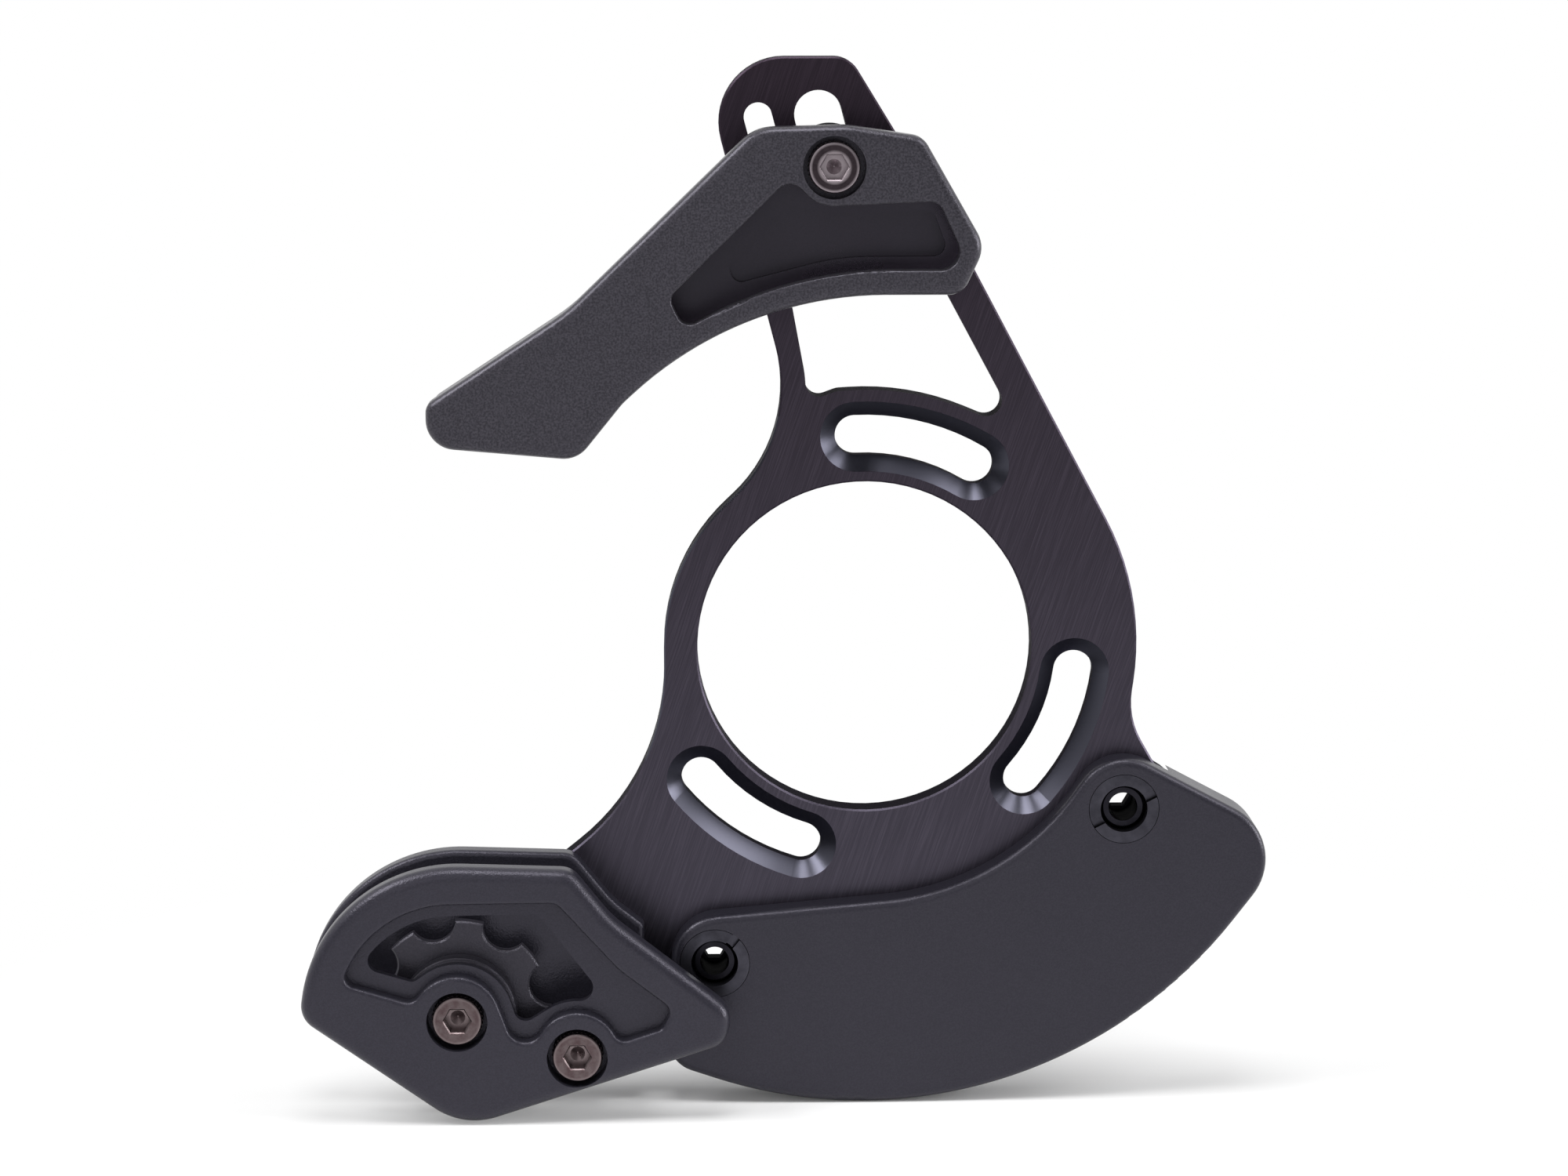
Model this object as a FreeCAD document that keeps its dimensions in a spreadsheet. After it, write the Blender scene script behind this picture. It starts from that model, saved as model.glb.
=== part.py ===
"""Bicycle chain guide: backplate, upper guide, lower pulley cage and bash guard.

Millimetres. X points forward along the bicycle, Z up and Y inboard, so the side that faces
the rider's foot looks along +Y. The origin is the centre of the bottom bracket bore, on the
backplate's inboard face. A depth is a distance from that face towards -Y, the outboard side.
"""
import FreeCAD
import Part
import math
import os

import Sketcher

Vector = FreeCAD.Vector

# Driving dimensions: name, value and what it measures. Every other size follows from these.
SIZES = [
    ("plate_thick", 5.0, "backplate thickness"),
    ("plate_edge", 0.3, "broken edge round the backplate's front face"),
    ("bore_radius", 28.75, "bore that clears the bottom bracket cup"),
    ("plate_ring", 5.75, "backplate's width round the rear side of the bore"),
    ("plate_nose", 10.4, "backplate's width outside the frame bolts' circle, in front"),
    ("plate_foot", 14.5, "backplate's width outside the frame bolts' circle, below"),
    ("iscg_radius", 36.5, "radius of the circle that the three frame bolts lie on"),
    ("iscg_slots", 3, "frame bolt slots"),
    ("iscg_first", 76.1, "angle of the middle of the top slot"),
    ("iscg_step", 100.0, "angle between neighbouring slots"),
    ("iscg_sweep", 33.3, "angle that a slot's centre line covers"),
    ("slot_width", 6.8, "slot width for an M6 bolt"),
    ("sink_width", 12.0, "width across a slot's countersink"),
    ("arm_end", 8.0, "backplate's rounding about the pulley axle"),
    ("arm_side", 5.5, "backplate's rounding about the second cage bolt"),
    ("arm_lean", 15.0, "lean of the tab's adjusting slots from upright"),
    ("window_foot", 8.0, "from the frame bolts' circle to the lower edge of the arm's window"),
    ("guide_x", -6.0, "upper guide bolt, forward of the bore"),
    ("guide_z", 83.0, "upper guide bolt, above the bore"),
    ("guide_up", 8.2, "travel of the upper guide above its place"),
    ("guide_down", 4.0, "travel of the upper guide below its place"),
    ("guide_slot", 8.1, "width of the slot for the upper guide bolt"),
    ("lug_slot", 4.8, "width of the slot that stops the upper guide turning"),
    ("lug_x", -10.1, "lug that runs in that slot, forward of the upper guide bolt"),
    ("lug_z", -0.4, "lug, above the upper guide bolt"),
    ("slide_gap", 0.3, "play on each side of the tab and of its slots"),
    ("pulley_x", -70.0, "pulley axle, forward of the bore"),
    ("pulley_z", -61.6, "pulley axle, above the bore"),
    ("cage_bolt_x", 20.4, "second cage bolt, forward of the pulley axle"),
    ("cage_bolt_z", -6.6, "second cage bolt, above the pulley axle"),
    ("inner_thick", 3.2, "thickness of an inner half"),
    ("outer_thick", 4.0, "thickness of an outer half"),
    ("chain_gap", 8.6, "channel for the chain between two halves"),
    ("boss_radius", 6.2, "boss behind a bolt's counterbore"),
    ("boss_tip", 4.0, "radius of the spacers and of a boss where it meets the bearing"),
    ("boss_step", 0.4, "height of that tip"),
    ("cage_round", 2.2, "rounded rim of the cage's outer half"),
    ("cage_arc", 26.8, "cage's radius about the pulley axle"),
    ("cage_end", 31.8, "upright end of the cage's inner half, forward of the pulley axle"),
    ("guide_round", 1.6, "rounded rim of the upper guide's outer half"),
    ("guide_inset", 0.6, "upper guide's inner half, inside the outline of its outer half"),
    ("inner_round", 1.0, "rounded rim of the cage's inner half"),
    ("recess_deep", 2.4, "recess in the face of the cage's outer half"),
    ("recess_round", 0.8, "rounded rim of that recess"),
    ("recess_arc", 20.8, "recess's radius about the pulley axle"),
    ("recess_boss", 7.6, "recess's radius about a cage bolt"),
    ("window_arc", 18.7, "cage window's radius about the pulley axle"),
    ("window_boss", 9.5, "cage window's radius about a cage bolt"),
    ("guide_boss", 6.3, "upper guide window's radius about its bolt"),
    ("window_round", 0.5, "rounded rim of the upper guide's window"),
    ("pocket_deep", 1.2, "pocket in the upper guide's inner half"),
    ("lip_thick", 1.6, "lip that closes the upper guide's channel along the top"),
    ("lip_from", -63.0, "start of that lip, forward of the upper guide bolt"),
    ("thread", 5.0, "M5 bolts of the cage and upper guide, diameter"),
    ("thread_play", 0.1, "diameter added to the hole that a thread turns in"),
    ("hole_play", 0.4, "diameter added to the hole that a bolt passes through"),
    ("head_wide", 8.5, "M5 head diameter"),
    ("head_tall", 3.6, "M5 head height"),
    ("head_round", 0.4, "rounded edge of a head"),
    ("head_sunk", 0.6, "head's depth below the face round it"),
    ("sink_hole", 10.4, "counterbore diameter round an M5 head"),
    ("hex_key", 4.0, "M5 socket, across flats"),
    ("hex_deep", 2.4, "M5 socket depth"),
    ("hex_edge", 0.2, "broken edge of that socket"),
    ("hex_point", 0.7, "depth of the drill's point at the socket's bottom"),
    ("hex_tip", 0.2, "diameter of that point's end"),
    ("bolt_end", 0.4, "from an M5 bolt's end to the far face"),
    ("teeth", 8, "teeth on the pulley"),
    ("pulley_pitch", 16.6, "radius of the circle that the chain's rollers lie on"),
    ("pulley_tip", 15.8, "radius over the flat-topped teeth"),
    ("roller", 3.95, "radius of the hollow for a chain roller"),
    ("pulley_turn", 15.4, "turn of the first hollow from upright"),
    ("tooth_thick", 2.2, "thickness of the toothed disc"),
    ("hub_radius", 10.0, "radius of the pulley's hub"),
    ("hub_round", 0.8, "rounded rim of the pulley's hub"),
    ("hub_gap", 0.4, "hub's running gap to each half"),
    ("tooth_edge", 0.3, "broken edge of the toothed disc"),
    ("bearing_out", 16.0, "bearing outside diameter"),
    ("bearing_wide", 5.0, "bearing width"),
    ("ring_thick", 1.4, "thickness of a bearing ring at its land"),
    ("ball", 3.1, "ball diameter"),
    ("balls", 8, "balls in the bearing"),
    ("race_play", 0.05, "play of a ball in its race"),
    ("shield_thick", 0.3, "bearing shield thickness"),
    ("shield_sunk", 0.2, "shield's depth below the ring's face"),
    ("shield_gap", 0.3, "shield's running gap to the inner ring"),
    ("bash_radius", 80.0, "outer radius of the bash guard about the bore"),
    ("bash_inner", 7.7, "from the frame bolts' circle to the bash guard's inner edge"),
    ("bash_front", 5.0, "bash guard's thickness in front of the backplate"),
    ("bash_rear", 4.2, "depth of the bash guard's rim beside the backplate"),
    ("bash_gap", 0.6, "gap between that rim and the backplate's edge"),
    ("bash_round", 1.4, "rounded front rim of the bash guard"),
    ("front_ear_x", 44.6, "front bash bolt, forward of the bore"),
    ("front_ear_z", -27.7, "front bash bolt, above the bore"),
    ("rear_ear_x", -26.0, "rear bash bolt, forward of the bore"),
    ("rear_ear_z", -54.7, "rear bash bolt, above the bore"),
    ("ear_radius", 8.4, "backplate's ear round a bash bolt"),
    ("ear_long", 6.0, "front ear's reach along the bash guard's top edge"),
    ("front_cover", 8.8, "bash guard's ear round the front bolt"),
    ("rear_cover", 8.3, "bash guard's ear round the rear bolt"),
    ("bash_bolt", 8.0, "bash bolt diameter"),
    ("bash_head", 12.0, "bash bolt head diameter"),
    ("bash_head_tall", 2.4, "bash bolt head height"),
    ("bash_key", 3.6, "hexagon through the bash bolt's head, across flats"),
    ("bash_core", 5.0, "hollow in the bash bolt's shank, diameter"),
    ("bash_sunk", 1.8, "bash bolt's end, below the nut's face"),
    ("bash_point", 0.6, "broken edge of that end"),
    ("nut_wide", 12.0, "flange of the slotted sleeve nut"),
    ("nut_tall", 2.2, "height of that flange"),
    ("nut_sleeve", 10.0, "sleeve diameter"),
    ("driver_wide", 1.5, "driver slot across the nut's face"),
    ("driver_deep", 1.0, "depth of the driver slot"),
    ("front_driver", 27.0, "rise of the front nut's driver slot"),
    ("rear_driver", 51.0, "rise of the rear nut's driver slot"),
    ("tee_wide", 12.4, "flange of the upper guide's tee nut"),
    ("tee_tall", 2.2, "height of that flange"),
]
SIZE = {name: value for name, value, _ in SIZES}

# Depths of the stack and the second cage bolt's place, as expressions on the sheet.
PLATE_FRONT = "Sizes.plate_thick"
GAP_REAR = "(Sizes.plate_thick + Sizes.inner_thick)"
GAP_FRONT = f"({GAP_REAR} + Sizes.chain_gap)"
FACE = f"({GAP_FRONT} + Sizes.outer_thick)"
CHAIN = f"({GAP_REAR} + Sizes.chain_gap / 2)"
SEAT = f"({FACE} - Sizes.head_sunk - Sizes.head_tall)"
BEARING_REAR = f"({CHAIN} - Sizes.bearing_wide / 2)"
BEARING_FRONT = f"({CHAIN} + Sizes.bearing_wide / 2)"
BASH_FACE = "(Sizes.plate_thick + Sizes.bash_front)"
CAGE_BOLT_X = "Sizes.pulley_x + Sizes.cage_bolt_x"
CAGE_BOLT_Z = "Sizes.pulley_z + Sizes.cage_bolt_z"

PULLEY = (SIZE["pulley_x"], SIZE["pulley_z"])
CAGE_BOLT = (PULLEY[0] + SIZE["cage_bolt_x"], PULLEY[1] + SIZE["cage_bolt_z"])
GUIDE = (SIZE["guide_x"], SIZE["guide_z"])
FRONT_EAR = (SIZE["front_ear_x"], SIZE["front_ear_z"])
REAR_EAR = (SIZE["rear_ear_x"], SIZE["rear_ear_z"])
BORE = (0.0, 0.0)

# Sides keep this share of their length from two roundings that meet.
SIDE_SHARE = 0.999
# A cut runs this far past the outline that it opens.
CUT_PAST = 5.0
# Two levels or lengths closer than this are the same.
SAME = 0.001
# Slopes of a countersink's side and of a drill's point, in degrees from the bolt's axis.
SINK_SLOPE = 45.0
DRILL_SLOPE = 59.0

doc = FreeCAD.newDocument("ChainGuide")


def make_sheet():
    """Writes the driving dimensions to the sheet, one row each, and names the value cells."""
    sheet = doc.addObject("Spreadsheet::Sheet", "Sizes")
    for row, (name, value, note) in enumerate(SIZES, start=1):
        sheet.set(f"A{row}", name)
        sheet.set(f"B{row}", str(value))
        sheet.set(f"C{row}", note)
        sheet.setAlias(f"B{row}", name)
    doc.recompute()


# Outlines: corners as (x, z, radius), joined by straight lines.


def polar(centre, radius, angle):
    """Point at a radius and an angle in degrees about a centre."""
    turn = math.radians(angle)
    return centre[0] + radius * math.cos(turn), centre[1] + radius * math.sin(turn)


def arc_corner(centre, radius, start, end):
    """Corner whose rounding is the arc about a centre between two angles in degrees."""
    half = math.radians(abs(end - start) / 2)
    x, z = polar(centre, radius / math.cos(half), (start + end) / 2)
    return x, z, radius


def about(centre, corners):
    """Corners given as offsets from a centre."""
    return [(centre[0] + x, centre[1] + z, radius) for x, z, radius in corners]


def level_at(start, end, x):
    """Height of the line through two corners at a place along X."""
    return start[1] + (end[1] - start[1]) * (x - start[0]) / (end[0] - start[0])


def offset_outline(corners, gap):
    """Clockwise outline moved outwards by a gap, each rounding keeping its centre."""
    moved = []
    for i, (x, z, radius) in enumerate(corners):
        before = corners[i - 1]
        after = corners[(i + 1) % len(corners)]
        arrive = Vector(x - before[0], z - before[1], 0).normalize()
        leave = Vector(after[0] - x, after[1] - z, 0).normalize()
        normal = Vector(-arrive.y - leave.y, arrive.x + leave.x, 0)
        normal.multiply(2 * gap / normal.dot(normal))
        right_turn = arrive.x * leave.y - arrive.y * leave.x < 0
        moved.append((x + normal.x, z + normal.y, radius + (gap if right_turn else -gap)))
    return moved


def rounded_edges(corners):
    """Lines and arcs of a closed outline; a rounding is limited by its two sides."""
    points = [Vector(x, z, 0) for x, z, _ in corners]
    count = len(corners)
    reach = []
    for i, (_, _, radius) in enumerate(corners):
        back = (points[i - 1] - points[i]).normalize()
        ahead = (points[(i + 1) % count] - points[i]).normalize()
        half = back.getAngle(ahead) / 2
        reach.append(radius / math.tan(half))
    share = []
    for i in range(count):
        back_room = (points[i - 1] - points[i]).Length / (reach[i - 1] + reach[i] or 1)
        ahead_room = (points[(i + 1) % count] - points[i]).Length / (reach[(i + 1) % count] + reach[i] or 1)
        share.append(min(1.0, SIDE_SHARE * back_room, SIDE_SHARE * ahead_room))
    edges = []
    ends = []
    for i in range(count):
        back = (points[i - 1] - points[i]).normalize()
        ahead = (points[(i + 1) % count] - points[i]).normalize()
        tangent = reach[i] * share[i]
        start = points[i] + back * tangent
        end = points[i] + ahead * tangent
        ends.append((start, end))
        if tangent > 0:
            half = back.getAngle(ahead) / 2
            radius = tangent * math.tan(half)
            inward = (back + ahead).normalize()
            middle = points[i] + inward * (radius / math.sin(half) - radius)
            edges.append(Part.Arc(start, middle, end))
    for i in range(count):
        edges.append(Part.LineSegment(ends[i][1], ends[(i + 1) % count][0]))
    return edges


def slot_edges(start, end, width):
    """Straight slot with round ends, from one end's centre to the other."""
    first = Vector(start[0], start[1], 0)
    last = Vector(end[0], end[1], 0)
    along = (last - first).normalize() * (width / 2)
    side = Vector(-along.y, along.x, 0)
    return [
        Part.LineSegment(first + side, last + side),
        Part.Arc(last + side, last + along, last - side),
        Part.LineSegment(last - side, first - side),
        Part.Arc(first - side, first - along, first + side),
    ]


def arc_slot_edges(radius, middle, sweep, width):
    """Slot with round ends along an arc about the bore."""
    low = middle - sweep / 2
    high = middle + sweep / 2

    def at(distance, angle):
        x, z = polar(BORE, distance, angle)
        return Vector(x, z, 0)

    def cap(angle, sign):
        centre = at(radius, angle)
        outward = centre.normalize()
        tip = Vector(-outward.y, outward.x, 0) * (sign * width / 2)
        return at(radius, angle) + tip

    outer = radius + width / 2
    inner = radius - width / 2
    return [
        Part.Arc(at(outer, low), at(outer, middle), at(outer, high)),
        Part.Arc(at(outer, high), cap(high, 1), at(inner, high)),
        Part.Arc(at(inner, high), at(inner, middle), at(inner, low)),
        Part.Arc(at(inner, low), cap(low, -1), at(outer, low)),
    ]


# Features of a body. A sketch faces -Y, so a pad grows outboard and a pocket cuts inboard.


def new_body(label):
    return doc.addObject("PartDesign::Body", label)


def new_sketch(body, name, depth="0", plane="XZ_Plane"):
    """Sketch on one of the body's own planes, moved outboard by a depth."""
    sketch = body.newObject("Sketcher::SketchObject", name)
    support = next(item for item in body.Origin.OriginFeatures if item.Role == plane)
    sketch.AttachmentSupport = [(support, "")]
    sketch.MapMode = "FlatFace"
    sketch.setExpression("AttachmentOffset.Base.z", depth)
    return sketch


def draw(sketch, edges):
    """Adds fixed lines and arcs to a sketch."""
    for edge in edges:
        index = sketch.addGeometry(edge, False)
        sketch.addConstraint(Sketcher.Constraint("Block", index))


def draw_circle(sketch, diameter, x="0", z="0"):
    """Adds a circle whose diameter and centre are expressions on the sheet."""
    index = sketch.addGeometry(Part.Circle(Vector(0, 0, 0), Vector(0, 0, 1), 1.0), False)
    rows = (
        ("wide", Sketcher.Constraint("Diameter", index, 2.0), diameter),
        ("x", Sketcher.Constraint("DistanceX", -1, 1, index, 3, 0.0), x),
        ("z", Sketcher.Constraint("DistanceY", -1, 1, index, 3, 0.0), z),
    )
    for kind, constraint, expression in rows:
        name = f"{kind}{index}"
        number = sketch.addConstraint(constraint)
        sketch.renameConstraint(number, name)
        sketch.setExpression(f"Constraints.{name}", expression)


def pad(body, sketch, length, inboard=False):
    feature = body.newObject("PartDesign::Pad", f"{sketch.Name}_pad")
    feature.Profile = sketch
    feature.Reversed = inboard
    feature.setExpression("Length", length)
    doc.recompute()
    return feature


def pocket(body, sketch, length=None, outboard=False, taper=0.0):
    """Cuts a sketch to a length, or right through the body without one; a taper widens the cut."""
    before = body.Shape.Volume
    feature = body.newObject("PartDesign::Pocket", f"{sketch.Name}_cut")
    feature.Profile = sketch
    feature.Reversed = outboard
    feature.TaperAngle = taper
    if length is None:
        feature.Type = "ThroughAll"
    else:
        feature.setExpression("Length", length)
    doc.recompute()
    if body.Shape.Volume >= before:
        raise RuntimeError(f"{feature.Name} cuts nothing")
    return feature


def edge_names(shape, edges):
    """Names of some of a shape's edges."""
    return [
        f"Edge{number}"
        for number, edge in enumerate(shape.Edges, start=1)
        if any(edge.isSame(wanted) for wanted in edges)
    ]


def flat_face(shape, outboard):
    """Flat face at the outboard end of a shape, or at its inboard end."""
    sign = -1 if outboard else 1
    faces = [
        face
        for face in shape.Faces
        if isinstance(face.Surface, Part.Plane) and sign * face.normalAt(0, 0).y > 1 - SAME
    ]
    furthest = max(sign * face.CenterOfMass.y for face in faces)
    ends = [face for face in faces if sign * face.CenterOfMass.y > furthest - SAME]
    return max(ends, key=lambda face: face.Area)


def outer_rim(body, outboard=True):
    """Outer edges of a body's end face."""
    return flat_face(body.Tip.Shape, outboard).OuterWire.Edges


def holes_rim(body, keep):
    """Edges of the holes in a body's outboard face that a test keeps."""
    face = flat_face(body.Tip.Shape, True)
    wires = [wire for wire in face.Wires if not wire.isSame(face.OuterWire) and keep(wire)]
    return [edge for wire in wires for edge in wire.Edges]


def dress(body, kind, edges, size):
    """Fillet or chamfer on some of the body's edges."""
    base = body.Tip
    feature = body.newObject(f"PartDesign::{kind}", f"{body.Name}_{kind}")
    feature.Base = (base, edge_names(base.Shape, edges))
    feature.setExpression("Radius" if kind == "Fillet" else "Size", size)
    doc.recompute()
    if not feature.Shape.isValid() or "Invalid" in feature.State:
        raise RuntimeError(f"{feature.Name} failed")
    return feature


def place(item, x="0", depth="0", z="0", turn=0.0):
    """Moves a sub-part's own origin to a place in the guide, turned counterclockwise seen from outboard."""
    item.Placement = FreeCAD.Placement(Vector(0, 0, 0), FreeCAD.Rotation(Vector(0, -1, 0), turn))
    item.setExpression("Placement.Base.x", x)
    item.setExpression("Placement.Base.y", f"-({depth})")
    item.setExpression("Placement.Base.z", z)


# Outlines of the plates, clockwise from the top left as seen from the outboard side.


def plate_outline():
    """Boomerang from the tab at the top, round the bore, to the cage's arm at the lower left."""
    ear = SIZE["ear_radius"]
    ring = SIZE["bore_radius"] + SIZE["plate_ring"]
    return [
        (-28.1, 100.5, 11.0),
        (-2.9, 100.5, 4.6),
        (12.9, 75.0, 60.0),
        arc_corner(BORE, SIZE["iscg_radius"] + SIZE["plate_nose"], 28.2, -8.0),
        (45.6, -12.6, 14.0),
        (*polar(polar(FRONT_EAR, ear, 62.0), 2.4, -28.0), 1.0),
        arc_corner(polar(FRONT_EAR, SIZE["ear_long"], -28.0), ear, 62.0, -75.0),
        (32.1, -39.8, 8.0),
        arc_corner(BORE, SIZE["iscg_radius"] + SIZE["plate_foot"], -54.0, -85.0),
        (-4.0, -51.6, 10.0),
        arc_corner(REAR_EAR, ear, -60.7, -65.7),
        arc_corner(CAGE_BOLT, SIZE["arm_side"], -65.7, -101.2),
        arc_corner(PULLEY, SIZE["arm_end"], 258.8, 128.7),
        (-ring, -22.8, 40.0),
        arc_corner(BORE, ring, 180.0, 133.0),
        (-11.3, 36.6, 26.0),
    ]


def arm_window():
    """Opening between the two legs that carry the tab."""
    return [
        (-14.6, 70.0, 2.5),
        (8.7, 70.0, 2.5),
        (26.5, 37.2, 2.7),
        arc_corner(BORE, SIZE["iscg_radius"] + SIZE["window_foot"], 67.5, 93.9),
        (-4.9, 44.3, 3.0),
        (-10.1, 42.4, 2.4),
        (-10.3, 47.0, 20.0),
    ]


def cage_outline():
    """Outer half: round the pulley on the left, a pointed tip beside the bash guard."""
    return [
        arc_corner(PULLEY, SIZE["cage_arc"], 172.0, 88.0),
        *about(
            PULLEY,
            [
                (19.7, 26.2, 4.0),
                (26.5, 17.6, 20.0),
                (47.2, 1.2, 5.0),
                (45.7, -4.7, 4.0),
                (0.8, -19.3, 12.0),
                (-26.9, 0.4, 4.5),
            ],
        ),
    ]


def cage_inner_outline():
    """Inner half: as the outer one, with an upright end in place of the tip."""
    outline = cage_outline()
    end = PULLEY[0] + SIZE["cage_end"]
    return [
        *outline[:3],
        (end, level_at(outline[2], outline[3], end), 1.2),
        (end, level_at(outline[4], outline[5], end), 3.0),
        *outline[5:],
    ]


def cage_recess():
    """Recess in the outer half's face, drawn in round the two bolts' bosses."""
    boss = SIZE["recess_boss"]
    return [
        arc_corner(PULLEY, SIZE["recess_arc"], 156.0, 92.0),
        *about(PULLEY, [(17.0, 20.6, 2.5), (27.5, 8.9, 12.0), (36.6, 1.8, 2.0), (34.9, -1.6, 1.6)]),
        *about(PULLEY, [(27.7, -4.0, 2.0)]),
        arc_corner(CAGE_BOLT, boss, 30.0, 150.0),
        *about(PULLEY, [(10.9, -7.8, 3.2)]),
        arc_corner(PULLEY, boss, 20.0, 140.0),
        *about(PULLEY, [(-7.7, 3.2, 2.0), (-19.4, 6.8, 1.8)]),
    ]


def cage_window():
    """Opening in the recess's floor, over the pulley's teeth."""
    boss = SIZE["window_boss"]
    return [
        arc_corner(PULLEY, SIZE["window_arc"], 140.0, 95.0),
        *about(PULLEY, [(13.9, 18.3, 2.2), (25.6, 2.9, 2.4)]),
        arc_corner(CAGE_BOLT, boss, 90.0, 122.0),
        *about(PULLEY, [(10.5, -1.6, 2.0)]),
        arc_corner(PULLEY, boss, 18.0, 125.0),
        *about(PULLEY, [(-7.5, 6.4, 1.5), (-16.7, 9.2, 2.2)]),
    ]


def guide_outline():
    """Upper guide: bolt end at the top right, long tip along the chain's upper run."""
    return about(
        GUIDE,
        [
            (-67.6, -39.0, 2.5),
            (-44.2, -23.6, 30.0),
            (-13.0, 6.5, 8.0),
            (2.0, 6.9, 15.0),
            (14.5, 5.0, 3.5),
            (24.9, -13.0, 5.0),
            (21.2, -21.0, 3.5),
            (-15.5, -21.0, 62.0),
            (-35.0, -38.9, 10.0),
            (-42.6, -48.3, 5.0),
            (-67.6, -46.1, 5.0),
        ],
    )


def guide_inner_outline():
    """Inner half: a little inside the outer one."""
    return offset_outline(guide_outline(), -SIZE["guide_inset"])


def guide_window():
    """Opening in the outer half, drawn in round the bolt's boss."""
    return [
        *about(GUIDE, [(-27.3, -21.3, 2.2), (-7.3, -1.6, 2.6)]),
        arc_corner(GUIDE, SIZE["guide_boss"], 225.0, 272.5),
        *about(
            GUIDE,
            [(17.1, -5.5, 2.6), (22.5, -16.9, 3.2), (-6.7, -16.8, 69.0), (-24.8, -26.5, 2.2)],
        ),
    ]


def guide_pocket():
    """Pocket in the inner half, seen through the window."""
    return about(
        GUIDE,
        [
            (-18.0, -18.0, 2.0),
            (-7.2, -7.0, 2.4),
            (0.3, -8.5, 8.0),
            (17.0, -7.8, 2.0),
            (20.0, -15.6, 2.0),
            (1.0, -15.7, 40.0),
            (-15.5, -20.0, 1.5),
        ],
    )


def guide_channel():
    """Room for the chain in the inner half: all but a lip along the top edge."""
    outline = guide_inner_outline()
    lip = offset_outline(outline, -SIZE["lip_thick"])
    start = GUIDE[0] + SIZE["lip_from"]
    start_level = level_at(lip[0], lip[1], start)
    end, end_level, _ = lip[4]
    left = min(x for x, _, _ in outline) - CUT_PAST
    right = max(x for x, _, _ in outline) + CUT_PAST
    bottom = min(z for _, z, _ in outline) - CUT_PAST
    return [
        (start, start_level, 0.0),
        *lip[1:4],
        (end, end_level, 0.0),
        (right, end_level, 0.0),
        (right, bottom, 0.0),
        (left, bottom, 0.0),
        (left, start_level + CUT_PAST, 0.0),
        (start, start_level + CUT_PAST, 0.0),
    ]


def bash_outline():
    """Bash guard: two arcs about the bore, with an ear at each bolt."""
    return [
        arc_corner(REAR_EAR, SIZE["rear_cover"], 170.0, 95.0),
        arc_corner(BORE, SIZE["iscg_radius"] + SIZE["bash_inner"], -84.0, -36.0),
        arc_corner(FRONT_EAR, SIZE["front_cover"], 144.0, 62.0),
        (*polar(BORE, SIZE["bash_radius"] + 2.0, -24.3), 10.4),
        arc_corner(BORE, SIZE["bash_radius"], -37.0, -109.0),
        (*polar(BORE, SIZE["bash_radius"] + 0.5, -115.3), 6.0),
    ]


# Sub-parts.


def backplate():
    body = new_body("backplate")
    outline = new_sketch(body, "plate")
    draw(outline, rounded_edges(plate_outline()))
    draw_circle(outline, "2 * Sizes.bore_radius")
    pad(body, outline, PLATE_FRONT)

    sink_deep = "(Sizes.sink_width - Sizes.slot_width) / 2"
    slots = new_sketch(body, "iscg_slots", PLATE_FRONT)
    countersinks = new_sketch(body, "countersinks", f"{PLATE_FRONT} - {sink_deep}")
    for step in range(SIZE["iscg_slots"]):
        middle = SIZE["iscg_first"] - step * SIZE["iscg_step"]
        edges = arc_slot_edges(SIZE["iscg_radius"], middle, SIZE["iscg_sweep"], SIZE["slot_width"])
        draw(slots, edges)
        draw(countersinks, edges)
    pocket(body, slots)
    pocket(body, countersinks, sink_deep, outboard=True, taper=SINK_SLOPE)

    window = new_sketch(body, "arm_window", PLATE_FRONT)
    draw(window, rounded_edges(arm_window()))
    pocket(body, window)

    tab = new_sketch(body, "tab_slots", PLATE_FRONT)
    upright = 90.0 + SIZE["arm_lean"]
    lug = (GUIDE[0] + SIZE["lug_x"], GUIDE[1] + SIZE["lug_z"])
    for centre, width in ((GUIDE, SIZE["guide_slot"]), (lug, SIZE["lug_slot"])):
        top = polar(centre, SIZE["guide_up"], upright)
        bottom = polar(centre, -SIZE["guide_down"], upright)
        draw(tab, slot_edges(bottom, top, width))
    pocket(body, tab)

    holes = new_sketch(body, "plate_holes", PLATE_FRONT)
    tapped = "Sizes.thread + Sizes.thread_play"
    clear = "Sizes.bash_bolt + Sizes.hole_play"
    draw_circle(holes, tapped, "Sizes.pulley_x", "Sizes.pulley_z")
    draw_circle(holes, tapped, CAGE_BOLT_X, CAGE_BOLT_Z)
    draw_circle(holes, clear, "Sizes.front_ear_x", "Sizes.front_ear_z")
    draw_circle(holes, clear, "Sizes.rear_ear_x", "Sizes.rear_ear_z")
    pocket(body, holes)

    def is_bore(wire):
        return abs(wire.Length - 2 * math.pi * SIZE["bore_radius"]) < SAME

    rims = outer_rim(body) + holes_rim(body, is_bore)
    dress(body, "Chamfer", rims, "Sizes.plate_edge")
    return body


def bolt_holes(body, name, depth, diameter, length=None, outboard=False):
    """Cuts one size of hole at both cage bolts."""
    sketch = new_sketch(body, name, depth)
    draw_circle(sketch, diameter, "Sizes.pulley_x", "Sizes.pulley_z")
    draw_circle(sketch, diameter, CAGE_BOLT_X, CAGE_BOLT_Z)
    pocket(body, sketch, length, outboard)


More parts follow.
